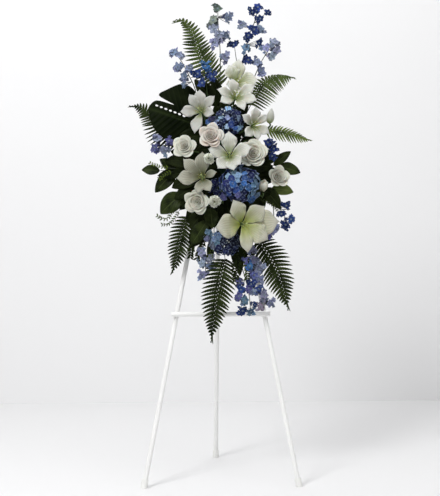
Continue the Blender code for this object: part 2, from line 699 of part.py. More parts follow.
HYDRANGEAS = {
    "hydrangea_upper": Head((0.026, -0.180, 1.224), 4, 8, (0.050, 0.046, 0.036), 14, (0.016, 0.076)),
    "hydrangea_middle": Head((0.058, -0.200, 1.020), 8, 0, (0.068, 0.056, 0.040), 16, (0.030, -0.022)),
    "hydrangea_lower": Head((0.013, -0.155, 0.822), 0, -25, (0.052, 0.046, 0.038), 14, (0.004, -0.106)),
}
HYDRANGEA_STEM = 0.0035
FLORET_THICKNESS = 0.0014
# How far a floret's middle lies behind its tips; less than its thickness.
FLORET_CUP = 0.0012


def star_floret(centre, facing, radius, root, petals, turn):
    """A floret with pointed petals: a cupped star, and a spur that narrows from its notches to its root."""
    mesh = bmesh.new()
    side = across(facing, Vector((0.3, -0.1, 1.0)))
    other = facing.cross(side)
    front, back = [], []
    for k in range(2 * petals):
        angle = pi * k / petals + turn
        reach = radius if k % 2 == 0 else radius * 0.52
        spot = centre + reach * (side * cos(angle) + other * sin(angle))
        front.append(mesh.verts.new(spot))
        back.append(mesh.verts.new(spot - facing * FLORET_THICKNESS))
    middle = mesh.verts.new(centre - facing * FLORET_CUP)
    spur = mesh.verts.new(root)
    for k in range(2 * petals):
        n = (k + 1) % (2 * petals)
        mesh.faces.new((middle, front[k], front[n]))
        mesh.faces.new((front[k], back[k], back[n], front[n]))
    for k in range(0, 2 * petals, 2):
        before, after = back[k - 1], back[k + 1]
        mesh.faces.new((back[k], before, after))
        mesh.faces.new((spur, after, before))
    bmesh.ops.recalc_face_normals(mesh, faces=mesh.faces[:])
    return mesh


def hydrangea(name, head):
    """A smaller core that four-petalled florets stand out of and cover."""
    frame = facing_frame(Vector(head.place), head.yaw, head.pitch)
    half = Vector(head.half)
    core = bmesh.new()
    bmesh.ops.create_icosphere(core, subdivisions=1, radius=1.0)
    for vert in core.verts:
        vert.co = Vector(vert.co[k] * half[k] * 0.84 for k in range(3))
    parts = [core, bloom_stem(frame, head.socket, half.z + 0.006, HYDRANGEA_STEM, start=-half.z * 0.6)]
    lowest = -0.25
    size = sqrt(4.0 * half.x * half.y / head.florets) * 0.76
    for index in range(head.florets):
        height = 1.0 - (index + 0.5) / head.florets * (1.0 - lowest)
        around = index * pi * (3.0 - sqrt(5.0))
        flat = sqrt(1.0 - height * height)
        ray = Vector((flat * cos(around), flat * sin(around), height))
        spot = Vector(ray[k] * half[k] * (1.0 - 0.07 * (index % 2)) for k in range(3))
        facing = Vector(ray[k] / half[k] for k in range(3)).normalized()
        parts.append(star_floret(spot, facing, size, spot * 0.6, 4, index * 0.7))
    return fuse(name, HYDRANGEA_BLUE, parts, frame, smooth=40)


# Delphinium sprays: a stem from the foam, side branches, and florets placed one by one

Spray = namedtuple("Spray", "socket stem branches florets")

DELPHINIUMS = {
    "delphinium_pale": Spray((-0.004, 0.115, -0.15), (
        (-0.004, -0.086, 1.300), (0.000, -0.082, 1.400), (0.000, -0.082, 1.470), (-0.006, -0.084, 1.540),
        (-0.008, -0.086, 1.600)), (), (
        (-0.009, -0.092, 1.609, 0.011), (-0.024, -0.094, 1.570, 0.013), (0.024, -0.090, 1.580, 0.012),
        (-0.022, -0.096, 1.540, 0.013), (0.018, -0.094, 1.521, 0.011), (-0.006, -0.100, 1.518, 0.011),
        (-0.018, -0.096, 1.495, 0.013), (0.016, -0.098, 1.444, 0.014))),
    "delphinium_blue": Spray((0.020, 0.115, 0.25), (
        (0.045, -0.050, 1.300), (0.068, -0.050, 1.400), (0.086, -0.060, 1.470), (0.100, -0.068, 1.530),
        (0.122, -0.072, 1.575), (0.126, -0.074, 1.622)), (
        ((0.068, -0.050, 1.405), (0.056, -0.060, 1.445), (0.050, -0.066, 1.485)),
        ((0.118, -0.070, 1.565), (0.142, -0.072, 1.585), (0.160, -0.074, 1.602))), (
        (0.128, -0.080, 1.618, 0.013), (0.110, -0.080, 1.600, 0.012), (0.136, -0.082, 1.578, 0.012),
        (0.163, -0.078, 1.600, 0.010), (0.076, -0.080, 1.556, 0.014), (0.115, -0.084, 1.542, 0.014),
        (0.140, -0.080, 1.542, 0.012), (0.096, -0.084, 1.522, 0.013), (0.046, -0.074, 1.490, 0.013),
        (0.087, -0.078, 1.480, 0.013), (0.132, -0.080, 1.496, 0.012), (0.096, -0.072, 1.440, 0.014))),
    "delphinium_lavender_right": Spray((0.048, 0.115, 0.20), (
        (0.078, -0.046, 1.280), (0.110, -0.036, 1.360), (0.130, -0.056, 1.410), (0.150, -0.074, 1.450),
        (0.172, -0.080, 1.480)), (), (
        (0.184, -0.088, 1.500, 0.014), (0.193, -0.088, 1.473, 0.014), (0.176, -0.090, 1.450, 0.014),
        (0.156, -0.088, 1.478, 0.013), (0.128, -0.074, 1.432, 0.014), (0.140, -0.078, 1.404, 0.014))),
    "delphinium_lavender_left": Spray((-0.052, 0.115, 0.00), (
        (-0.078, -0.094, 1.290), (-0.086, -0.100, 1.341), (-0.098, -0.102, 1.366), (-0.124, -0.098, 1.419),
        (-0.146, -0.096, 1.452)), (), (
        (-0.158, -0.104, 1.460, 0.013), (-0.140, -0.106, 1.452, 0.012), (-0.144, -0.106, 1.412, 0.014),
        (-0.122, -0.108, 1.382, 0.013), (-0.108, -0.108, 1.406, 0.012))),
    "delphinium_royal": Spray((-0.042, 0.115, -0.55), (
        (-0.044, -0.122, 1.290), (-0.048, -0.120, 1.350), (-0.054, -0.114, 1.400)), (), (
        (-0.052, -0.122, 1.412, 0.014), (-0.076, -0.122, 1.388, 0.015), (-0.032, -0.124, 1.378, 0.015),
        (-0.062, -0.130, 1.356, 0.013))),
    "delphinium_mid_left": Spray((-0.067, 0.045, -0.40), (
        (-0.110, -0.112, 1.146), (-0.160, -0.110, 1.146), (-0.205, -0.106, 1.148)), (), (
        (-0.214, -0.112, 1.168, 0.014), (-0.222, -0.112, 1.140, 0.014), (-0.192, -0.118, 1.132, 0.014),
        (-0.174, -0.118, 1.162, 0.013))),
    "delphinium_mid_right": Spray((0.067, 0.050, -0.30), (
        (0.110, -0.112, 1.130), (0.150, -0.122, 1.140)), (), (
        (0.158, -0.134, 1.156, 0.014), (0.178, -0.130, 1.136, 0.014), (0.172, -0.134, 1.112, 0.013))),
    "delphinium_low_left": Spray((-0.045, -0.115, -0.40), (
        (-0.056, -0.110, 0.900), (-0.064, -0.124, 0.840), (-0.054, -0.142, 0.775), (-0.052, -0.148, 0.720)), (), (
        (-0.066, -0.150, 0.786, 0.014), (-0.036, -0.150, 0.768, 0.014), (-0.064, -0.154, 0.750, 0.014),
        (-0.036, -0.154, 0.738, 0.014), (-0.060, -0.156, 0.714, 0.014))),
    "delphinium_low_right": Spray((0.040, -0.115, -0.45), (
        (0.050, -0.115, 0.900), (0.075, -0.125, 0.840), (0.095, -0.142, 0.790), (0.110, -0.150, 0.740),
        (0.122, -0.152, 0.704)), (), (
        (0.082, -0.150, 0.758, 0.013), (0.112, -0.162, 0.762, 0.013), (0.126, -0.160, 0.730, 0.015),
        (0.126, -0.162, 0.698, 0.014))),
    "delphinium_bottom": Spray((0.022, -0.115, -0.68), (
        (0.034, -0.106, 0.880), (0.056, -0.112, 0.800), (0.076, -0.140, 0.720), (0.092, -0.158, 0.660),
        (0.098, -0.164, 0.600)), (
        ((0.082, -0.146, 0.700), (0.066, -0.156, 0.650), (0.070, -0.162, 0.600)),
        ((0.090, -0.156, 0.668), (0.130, -0.162, 0.645), (0.154, -0.164, 0.622))), (
        (0.062, -0.156, 0.684, 0.013), (0.100, -0.166, 0.680, 0.013), (0.060, -0.164, 0.640, 0.014),
        (0.080, -0.170, 0.626, 0.014), (0.144, -0.172, 0.645, 0.014), (0.164, -0.170, 0.618, 0.014),
        (0.132, -0.172, 0.606, 0.013), (0.072, -0.170, 0.592, 0.013), (0.100, -0.172, 0.590, 0.011))),
    "delphinium_right": Spray((0.067, -0.090, -0.30), (
        (0.110, -0.086, 0.975), (0.160, -0.090, 0.955), (0.205, -0.100, 0.930), (0.222, -0.106, 0.900)), (
        ((0.180, -0.095, 0.946), (0.182, -0.108, 0.900), (0.178, -0.118, 0.868)),), (
        (0.222, -0.124, 0.944, 0.013), (0.206, -0.126, 0.916, 0.012), (0.238, -0.124, 0.898, 0.013),
        (0.220, -0.126, 0.880, 0.013), (0.176, -0.130, 0.858, 0.014))),
}
DELPHINIUM_STEM = 0.0020
FLORET_PETALS = 4


def delphinium(name, spray):
    """A branched stem whose florets each narrow to a spur that is sunk in the nearest part of it."""
    spot = foam_spot(*spray.socket)
    places = [Vector(point) for point in spray.stem]
    origin = places[0]
    stem = smooth_path([rooted(spot, places[0], DELPHINIUM_STEM), spot] + places, 1)
    runs = [(stem, DELPHINIUM_STEM)]
    for branch in spray.branches:
        runs.append((smooth_path([Vector(point) for point in branch], 1), DELPHINIUM_STEM * 0.7))
    parts = []
    for run, radius in runs:
        widths = [radius * (1.0 - 0.45 * k / (len(run) - 1)) for k in range(len(run))]
        parts.append(tube_mesh([point - origin for point in run], widths, 4))
    joints = [point for run, _ in runs for point in evenly(run, 24)[1:-2]]
    for index, (x, y, z, size) in enumerate(spray.florets):
        centre = Vector((x, y, z))
        root = min(joints, key=lambda point: (point - centre).length + 0.2 * abs(point.z - centre.z + 0.006))
        outward = (centre - root).normalized()
        facing = (outward * 0.6 + Vector((0.0, -0.6, 0.05))).normalized()
        parts.append(star_floret(centre - origin, facing, size, root - origin, FLORET_PETALS, index * 0.9))
    return fuse(name, DELPHINIUM_BLUE, parts, Matrix.Translation(origin), smooth=40)


# Fern fronds: a bare stalk, then a rib with a leaflet each side of every step

Frond = namedtuple("Frond", "socket stalk rib pairs longest facing droop")

FRONDS = {
    "fern_top_left": Frond((-0.022, 0.115, 0.25), ((0.004, -0.058, 1.300),), (
        (0.004, -0.052, 1.352), (-0.008, -0.052, 1.383), (-0.036, -0.052, 1.409), (-0.063, -0.052, 1.436),
        (-0.075, -0.050, 1.470), (-0.088, -0.048, 1.518), (-0.105, -0.046, 1.557), (-0.130, -0.044, 1.580),
        (-0.150, -0.044, 1.583), (-0.157, -0.044, 1.573)), 22, 0.047, (0.1, -1.0, 0.1), 0.15),
    "fern_left": Frond((-0.067, 0.078, 0.25), ((-0.110, -0.068, 1.160),), (
        (-0.150, -0.058, 1.158), (-0.178, -0.054, 1.174), (-0.208, -0.052, 1.206), (-0.224, -0.050, 1.236),
        (-0.246, -0.048, 1.264), (-0.278, -0.046, 1.281), (-0.310, -0.046, 1.283)), 15, 0.045,
        (0.1, -1.0, 0.2), 0.20),
    "fern_top_right": Frond((0.060, 0.115, -0.25), ((0.086, -0.084, 1.250),), (
        (0.104, -0.078, 1.285), (0.122, -0.076, 1.328), (0.146, -0.074, 1.362), (0.182, -0.070, 1.380),
        (0.222, -0.068, 1.385), (0.257, -0.066, 1.380)), 15, 0.055, (-0.15, -0.60, 0.75), 0.55),
    "fern_right": Frond((0.067, 0.095, 0.20), ((0.115, -0.078, 1.192),), (
        (0.150, -0.075, 1.200), (0.200, -0.072, 1.196), (0.248, -0.070, 1.186), (0.286, -0.066, 1.174),
        (0.314, -0.062, 1.166)), 13, 0.048, (0.10, -0.55, 0.80), 0.10),
    "fern_low_left": Frond((-0.058, -0.115, 0.00), ((-0.096, -0.106, 0.930),), (
        (-0.112, -0.116, 0.908), (-0.126, -0.128, 0.874), (-0.136, -0.134, 0.840), (-0.143, -0.137, 0.806),
        (-0.149, -0.139, 0.768), (-0.157, -0.140, 0.738), (-0.167, -0.140, 0.714)), 16, 0.038,
        (0.1, -1.0, 0.0), 0.10),
    "fern_low_middle": Frond((0.008, -0.115, -0.10), ((0.010, -0.104, 0.880), (0.012, -0.114, 0.800)), (
        (0.014, -0.136, 0.764), (0.004, -0.163, 0.732), (-0.006, -0.178, 0.690), (-0.015, -0.182, 0.647),
        (-0.021, -0.181, 0.600), (-0.026, -0.178, 0.557), (-0.032, -0.174, 0.518), (-0.034, -0.172, 0.484)),
        20, 0.052, (0.0, -1.0, 0.0), 0.05),
    "fern_low_right": Frond((0.058, -0.115, 0.00), ((0.092, -0.106, 0.880),), (
        (0.125, -0.115, 0.830), (0.148, -0.121, 0.798), (0.170, -0.125, 0.764), (0.188, -0.127, 0.730),
        (0.203, -0.126, 0.690), (0.216, -0.124, 0.648), (0.224, -0.122, 0.614), (0.231, -0.120, 0.587)),
        18, 0.058, (0.0, -1.0, 0.1), 0.10),
}
FROND_STALK = 0.0014
RIB_HALF = Vector((0.0010, 0.0006))
LEAFLET_HALF_THICKNESS = 0.0004


def leaflet_reach(share, longest):
    """A leaflet's length: a little shorter near the stalk, then tapering to the tip."""
    return longest * min(1.0, 0.60 + 1.4 * share) * (1.0 - share ** 2.4) + 0.003


def add_leaflet(mesh, root, outward, reach, droop):
    """One pointed leaflet pulled out of the rib's side face root, alike on both of its faces."""
    near, far = (root[0], root[3]), (root[1], root[2])
    middle = sum((vert.co for vert in root), Vector()) / 4.0
    upright = (near[0].co - near[1].co).normalized() * LEAFLET_HALF_THICKNESS
    tip = middle + outward * reach + Vector((0.0, 0.0, -droop * reach))
    point = [mesh.verts.new(tip + upright * s) for s in (1, -1)]
    for s in (0, 1):
        mesh.faces.new((near[s], far[s], point[s]))
    mesh.faces.new((near[0], point[0], point[1], near[1]))
    mesh.faces.new((far[0], far[1], point[1], point[0]))


def fern_frond(name, frond):
    spot = foam_spot(*frond.socket)
    stalk = [Vector(point) for point in frond.stalk]
    origin = spot
    bare = [rooted(spot, stalk[0], FROND_STALK), spot] + stalk
    ribs = evenly(smooth_path([Vector(point) for point in frond.rib], 6), frond.pairs)
    points = bare + ribs
    facing = Vector(frond.facing).normalized()
    mesh = bmesh.new()
    rings, frames = [], []
    for index, point in enumerate(points):
        ahead = points[min(index + 1, len(points) - 1)] - points[max(index - 1, 0)]
        axis = ahead.normalized()
        normal = across(axis, facing)
        side = axis.cross(normal)
        half = Vector((FROND_STALK, FROND_STALK)) * 0.7 if index < len(bare) else RIB_HALF
        corners = ((1, 1), (1, -1), (-1, -1), (-1, 1))
        rings.append([mesh.verts.new(point - origin + side * half.x * a + normal * half.y * b)
                      for a, b in corners])
        frames.append((axis, side))
    for index, (low, high) in enumerate(zip(rings, rings[1:])):
        leafy = index >= len(bare)
        mesh.faces.new((low[3], low[0], high[0], high[3]))
        mesh.faces.new((low[1], low[2], high[2], high[1]))
        for word, (top, under) in ((1, (0, 1)), (-1, (3, 2))):
            if not leafy:
                mesh.faces.new((low[top], low[under], high[under], high[top]))
                continue
            axis, side = frames[index]
            share = (index - len(bare)) / frond.pairs
            outward = (side * word + axis * (0.22 + 0.5 * share)).normalized()
            add_leaflet(mesh, (low[top], high[top], high[under], low[under]), outward,
                        leaflet_reach(share, frond.longest), frond.droop)
    mesh.faces.new(rings[0][::-1])
    mesh.faces.new(rings[-1])
    return piece(name, mesh, FERN_GREEN, Matrix.Translation(origin), smooth=40)


# Leafy stems of lemon leaf: a stem, and leaves from a point on it to their tips

Branch = namedtuple("Branch", "socket stem leaves")

LEAFY_STEMS = {
    "salal_left": Branch((-0.067, 0.010, 0.20), (
        (-0.110, -0.090, 1.070), (-0.160, -0.088, 1.066), (-0.205, -0.084, 1.062)), (
        ((-0.205, -0.084, 1.062), (-0.268, -0.075, 1.066), 0.018),
        ((-0.150, -0.089, 1.067), (-0.206, -0.084, 1.102), 0.020),
        ((-0.150, -0.089, 1.067), (-0.222, -0.080, 0.988), 0.026))),
    "salal_low_left": Branch((-0.067, -0.070, -0.10), (
        (-0.098, -0.108, 1.000), (-0.130, -0.112, 0.986)), (
        ((-0.130, -0.112, 0.986), (-0.204, -0.104, 0.916), 0.034),
        ((-0.104, -0.109, 0.997), (-0.140, -0.122, 0.934), 0.022))),
    "salal_right": Branch((0.067, 0.012, 0.10), (
        (0.120, -0.090, 1.084), (0.170, -0.088, 1.082), (0.197, -0.086, 1.078)), (
        ((0.197, -0.086, 1.078), (0.276, -0.078, 1.056), 0.022),
        ((0.182, -0.087, 1.081), (0.242, -0.082, 1.130), 0.016),
        ((0.140, -0.089, 1.083), (0.202, -0.092, 1.116), 0.015))),
    "salal_low_right": Branch((0.067, -0.070, 0.00), (
        (0.110, -0.095, 1.005), (0.175, -0.098, 1.006)), (
        ((0.175, -0.098, 1.006), (0.250, -0.096, 1.003), 0.018),
        ((0.147, -0.097, 1.006), (0.206, -0.112, 0.932), 0.024),
        ((0.120, -0.096, 1.005), (0.150, -0.112, 0.936), 0.020))),
    "salal_low_middle": Branch((-0.026, -0.104), (
        (-0.036, -0.158, 0.935), (-0.046, -0.156, 0.895)), (
        ((-0.036, -0.158, 0.936), (-0.030, -0.176, 0.868), 0.024),
        ((-0.046, -0.156, 0.895), (-0.100, -0.146, 0.812), 0.026))),
}
LEAF_THICKNESS = 0.0009
LEAF_STEM = 0.0017


def leaf_surface(base, tip, half_width, facing, arch):
    """An oval leaf with a drawn-out tip, folded a little along its rib and arched along its length."""
    run = tip - base
    length = run.length
    axis = run / length
    normal = across(axis, facing)
    side = axis.cross(normal)

    def surface(along, over):
        width = half_width * max(0.0, sin(pi * along ** 0.85)) ** 0.8
        if along < 0.001 or along > 0.999:
            width = 0.0
        lift = arch * length * 4.0 * along * (1.0 - along) + 0.22 * abs(over) * width
        return base + run * along + side * over * width + normal * lift
    return surface


def leafy_stem(name, branch, look=SALAL_GREEN):
    spot = foam_spot(*branch.socket)
    places = [Vector(point) for point in branch.stem]
    origin = spot
    stem = smooth_path([rooted(spot, places[0], LEAF_STEM), spot] + places, 1)
    widths = [LEAF_STEM * (1.0 - 0.4 * k / (len(stem) - 1)) for k in range(len(stem))]
    parts = [tube_mesh([point - origin for point in stem], widths, 5)]
    for base, tip, half_width in branch.leaves:
        surface = leaf_surface(Vector(base) - origin, Vector(tip) - origin, half_width,
                               Vector((0.0, -1.0, 0.25)), 0.06)
        parts.append(blade_mesh(surface, 3, 2, LEAF_THICKNESS, (True, True)))
    return fuse(name, look, parts, Matrix.Translation(origin), smooth=50)


# Monstera leaf: its outline along and across the rib, with slits from the edge and a row of holes

MONSTERA_BASE = Vector((-0.100, -0.085, 1.228))
MONSTERA_TIP = Vector((-0.240, -0.085, 1.274))
MONSTERA_SOCKET = (-0.067, 0.100, -0.25)
MONSTERA_OUTLINE = (
    (0.000, 0.004), (-0.022, 0.022), (-0.014, 0.070), (0.020, 0.108), (0.054, 0.119), (0.076, 0.113),
    (0.108, 0.084), (0.131, 0.053), (0.072, 0.038), (0.133, 0.034), (0.150, 0.002), (0.134, -0.028),
    (0.075, -0.030), (0.118, -0.050), (0.090, -0.070), (0.045, -0.036), (0.062, -0.080), (0.020, -0.078),
    (-0.014, -0.055), (-0.020, -0.018))
MONSTERA_HOLES = tuple((0.030 + 0.019 * k, 0.014) for k in range(5))
HOLE_HALF = (0.0055, 0.0032)
MONSTERA_THICKNESS = 0.0010


def monstera_leaf():
    run = MONSTERA_TIP - MONSTERA_BASE
    axis = run.normalized()
    normal = across(axis, Vector((-0.15, -1.0, 0.15)))
    side = normal.cross(axis) if normal.cross(axis).z > 0 else axis.cross(normal)
    outline = bmesh.new()
    loops = [MONSTERA_OUTLINE]
    for x, y in MONSTERA_HOLES:
        loops.append(((x - HOLE_HALF[0], y), (x, y - HOLE_HALF[1]), (x + HOLE_HALF[0], y), (x, y + HOLE_HALF[1])))
    for loop in loops:
        corners = [outline.verts.new((x, y, 0.0)) for x, y in loop]
        for a, b in zip(corners, corners[1:] + corners[:1]):
            outline.edges.new((a, b))
    bmesh.ops.triangle_fill(outline, use_beauty=True, use_dissolve=False, edges=outline.edges[:])
    bmesh.ops.triangulate(outline, faces=outline.faces[:])
    bmesh.ops.solidify(outline, geom=outline.faces[:], thickness=MONSTERA_THICKNESS)
    for vert in outline.verts:
        x, y, z = vert.co
        arch = -0.9 * y * y - 0.8 * (x - 0.06) ** 2
        vert.co = axis * x + side * y + normal * (z + arch)
    spot = foam_spot(*MONSTERA_SOCKET)
    knee = MONSTERA_BASE - axis * 0.012 - normal * 0.004
    stalk = [rooted(spot, knee, 0.0022), knee, MONSTERA_BASE + axis * 0.060 - normal * 0.0010,
             MONSTERA_BASE + axis * 0.140 - normal * 0.0060]
    rib = tube_mesh([point - MONSTERA_BASE for point in stalk], (0.0022, 0.0022, 0.0016, 0.0008), 5)
    return fuse("monstera_leaf", MONSTERA_GREEN, [outline, rib], Matrix.Translation(MONSTERA_BASE), smooth=50)


def main():
    clear_scene()
    easel()
    for name, bloom in LILIES.items():
        lily(name, bloom)
    lily_bud("lily_bud", (0.163, -0.128, 1.222), (0.172, -0.135, 1.272), 0.012, (0.067, 0.075, -0.60))
    for name, bloom in ROSES.items():
        rose(name, bloom, ROSE_WHORLS)
    for name, bloom in BUDS.items():
        rose(name, bloom, BUD_WHORLS)
    for name, bloom in CARNATIONS.items():
        carnation(name, bloom)
    for name, head in HYDRANGEAS.items():
        hydrangea(name, head)
    for name, spray in DELPHINIUMS.items():
        delphinium(name, spray)
    for name, frond in FRONDS.items():
        fern_frond(name, frond)
    for name, branch in LEAFY_STEMS.items():
        leafy_stem(name, branch)
    monstera_leaf()
    cage_and_foam()
    for thing in bpy.data.objects:
        thing.matrix_world = Matrix.Translation((0.0, DEPTH_SHIFT, 0.0)) @ thing.matrix_world


main()
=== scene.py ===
"""The looks of a standing funeral spray: fine petals, florets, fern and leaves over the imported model.

Metres, +Z up; the viewer stands at -Y. Places are the model's own before its last shift, so every piece
is moved by DEPTH_SHIFT when it is finished, as the model's pieces are.
"""

import random
from collections import namedtuple
from math import atan2, cos, pi, radians, sin, sqrt

import bpy
import numpy as np
from mathutils import Euler, Matrix, Vector
from mathutils.geometry import interpolate_bezier


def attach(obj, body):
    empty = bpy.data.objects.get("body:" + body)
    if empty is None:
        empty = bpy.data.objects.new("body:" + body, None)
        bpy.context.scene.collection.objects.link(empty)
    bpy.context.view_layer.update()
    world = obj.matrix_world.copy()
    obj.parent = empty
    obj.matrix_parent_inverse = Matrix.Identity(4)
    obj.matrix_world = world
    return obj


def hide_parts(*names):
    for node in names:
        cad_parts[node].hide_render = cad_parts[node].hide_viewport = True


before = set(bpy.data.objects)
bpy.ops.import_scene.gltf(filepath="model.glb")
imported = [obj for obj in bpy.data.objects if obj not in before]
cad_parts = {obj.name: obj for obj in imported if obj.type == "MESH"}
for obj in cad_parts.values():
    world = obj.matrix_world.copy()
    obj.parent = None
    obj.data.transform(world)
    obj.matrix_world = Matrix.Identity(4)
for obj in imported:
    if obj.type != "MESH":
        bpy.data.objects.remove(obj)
bpy.ops.object.select_all(action="DESELECT")
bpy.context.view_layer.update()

BODY = "spray_and_front_frame"
DEPTH_SHIFT = -0.0176

# The easel's slope and the foam block, as in the model
FRONT_FOOT_Y = -0.200
APEX_HEIGHT = 1.340
CAGE_HEIGHT = 1.070
FOAM_HALF = Vector((0.067, 0.040, 0.115))
FOAM_SETBACK = -0.0540
LEAN = atan2(-FRONT_FOOT_Y, APEX_HEIGHT)
FOAM_FRAME = (Matrix.Translation((0.0, FRONT_FOOT_Y * (1.0 - CAGE_HEIGHT / APEX_HEIGHT), CAGE_HEIGHT))
              @ Matrix.Rotation(-LEAN, 4, "X") @ Matrix.Translation((0.0, FOAM_SETBACK, 0.0)))
STEM_DEPTH = 0.027


def up(height):
    return Vector((0.0, 0.0, height))


def foam_spot(x, z, y=-1.0):
    """A point of the foam in world metres; y runs from -1 at the front face to 1 at the back."""
    return FOAM_FRAME @ Vector((x, y * FOAM_HALF.y, z))


# Blanks: flat blades and rods that are modelled once and copied

BLANKS = []
SAME_ROW = 0.001
SOFT_EDGE = radians(50.0)
# Along a blade, the ends where a pointed leaf or petal has no width
AT_BASE = 0.001
AT_TIP = 0.999


def edit(mode):
    bpy.ops.object.mode_set(mode="EDIT" if mode else "OBJECT")


def gather_row(blade, height):
    """Merges the points of a blade at one height into a point."""
    edit(True)
    bpy.ops.mesh.select_mode(type="VERT")
    bpy.ops.mesh.select_all(action="DESELECT")
    edit(False)
    for vert in blade.data.vertices:
        vert.select = abs(vert.co.y - height) < SAME_ROW
    edit(True)
    bpy.ops.mesh.merge(type="CENTER")
    edit(False)


def blade_blank(columns, rows, pointed_base=False, pointed_tip=True):
    """A flat blade: X runs across from -1 to 1, Y from the base at -1 to the tip at 1."""
    bpy.ops.mesh.primitive_grid_add(x_subdivisions=columns, y_subdivisions=rows, size=2.0)
    blade = bpy.context.object
    if pointed_base:
        gather_row(blade, -1.0)
    if pointed_tip:
        gather_row(blade, 1.0)
    bpy.ops.object.shade_smooth()
    BLANKS.append(blade)
    return blade


def rod_blank(sides, rings):
    """A round bar of radius 1 from Z = 0 to Z = 1, cut into rings."""
    bpy.ops.mesh.primitive_cylinder_add(vertices=sides, radius=1.0, depth=1.0, location=(0.0, 0.0, 0.5))
    bar = bpy.context.object
    bpy.ops.object.transform_apply(location=True)
    edit(True)
    for ring in range(1, rings):
        bpy.ops.mesh.select_all(action="SELECT")
        bpy.ops.mesh.bisect(plane_co=(0.0, 0.0, ring / rings), plane_no=(0.0, 0.0, 1.0))
    edit(False)
    bpy.ops.object.shade_smooth_by_angle(angle=SOFT_EDGE)
    BLANKS.append(bar)
    return bar


def bead_blank(segments, rings):
    bpy.ops.mesh.primitive_uv_sphere_add(segments=segments, ring_count=rings, radius=1.0)
    bead = bpy.context.object
    bpy.ops.object.shade_smooth()
    BLANKS.append(bead)
    return bead


def copy_of(blank, finish=None):
    part = blank.copy()
    part.data = blank.data.copy()
    if finish:
        part.data.materials.clear()
        part.data.materials.append(finish)
    bpy.context.scene.collection.objects.link(part)
    return part


def spots_of(mesh):
    spots = np.empty(len(mesh.vertices) * 3)
    mesh.vertices.foreach_get("co", spots)
    return spots.reshape(-1, 3)


def put(part, spots):
    part.data.vertices.foreach_set("co", spots.astype(np.float32).ravel())
    part.data.update()
    return part


def laid(blank, surface, finish):
    """A copy of a blade whose points lie on surface(across, along), across -1 to 1 and along 0 to 1."""
    spots = spots_of(blank.data)
    return put(copy_of(blank, finish), surface(spots[:, 0], (spots[:, 1] + 1.0) / 2.0))


def placed(blank, matrix, finish=None):
    """A copy of a blank or a template, moved by a matrix; a template keeps its own finishes."""
    part = copy_of(blank, finish)
    part.data.transform(matrix)
    return part


def bead(blank, half, finish, spot=Vector((0.0, 0.0, 0.0))):
    """A bead blank with the given half sizes."""
    return placed(blank, Matrix.Translation(spot) @ Matrix.Diagonal((*half, 1.0)), finish)


def painted(part, colour):
    """Gives every point of a part one colour, which its finish reads as tone."""
    layer = part.data.color_attributes.get("tone")
    if layer is None:
        layer = part.data.color_attributes.new("tone", "FLOAT_COLOR", "POINT")
    layer.data.foreach_set("color", np.tile((*colour, 1.0), len(part.data.vertices)).astype(np.float32))
    return part


def joined(name, parts):
    bpy.ops.object.select_all(action="DESELECT")
    for part in parts:
        part.select_set(True)
    bpy.context.view_layer.objects.active = parts[0]
    bpy.ops.object.join()
    piece = bpy.context.object
    piece.name = name
    piece.data.name = name
    return piece


def thickened(name, blades, thickness):
    """Joins flat blades and gives them a thickness, half to each side."""
    piece = joined(name, blades)
    wall = piece.modifiers.new("Thickness", "SOLIDIFY")
    wall.thickness = thickness
    wall.offset = 0.0
    bpy.ops.object.modifier_apply(modifier=wall.name)
    return piece


def finished(name, parts, place, slot, *nodes):
    """Joins a piece's parts, brings it to its place and puts it in the stead of its nodes."""
    piece = joined(name, parts)
    piece.data.transform(Matrix.Translation((0.0, DEPTH_SHIFT, 0.0)) @ place)
    piece.data.update()
    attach(piece, BODY)
    if nodes:
        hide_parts(*nodes)
    bpy.ops.object.select_all(action="DESELECT")
    return piece


# Curves and frames

TINY = 1e-6


def across(direction, hint):
    """The unit vector square to direction that lies nearest to hint."""
    side = hint - direction * hint.dot(direction)
    if side.length < TINY:
        side = direction.orthogonal()
    return side.normalized()


def aimed(facing):
    """The turn that brings Z to a direction."""
    return facing.to_track_quat("Z", "Y").to_matrix().to_4x4()


def turned(out, side, height, cosine, sine):
    """Points from their way out, aside and up, swung about Z."""
    return np.stack((out * cosine - side * sine, out * sine + side * cosine, height), 1)


def path_of(points, steps):
    """A smooth path through the places of a table."""
    return smooth_path([Vector(point) for point in points], steps)


def smooth_path(points, steps):
    path = [points[0]]
    last = len(points) - 1
    slopes = [(points[min(k + 1, last)] - points[max(k - 1, 0)]) / 6.0 for k in range(last + 1)]
    for k in range(last):
        run = interpolate_bezier(points[k], points[k] + slopes[k], points[k + 1] - slopes[k + 1],
                                 points[k + 1], steps + 1)
        path.extend(run[1:])
    return path


def evenly(path, count):
    """count + 1 points spaced evenly along a path."""
    lengths = [0.0]
    for a, b in zip(path, path[1:]):
        lengths.append(lengths[-1] + (b - a).length)
    spots = []
    k = 0
    for step in range(count + 1):
        reach = lengths[-1] * step / count
        while k < len(path) - 2 and lengths[k + 1] < reach:
            k += 1
        share = (reach - lengths[k]) / (lengths[k + 1] - lengths[k])
        spots.append(path[k].lerp(path[k + 1], share))
    return spots


def rooted(spot, toward):
    """The end of a stem inside the foam, for a stem that leaves it at spot."""
    return spot + (spot - toward).normalized() * STEM_DEPTH


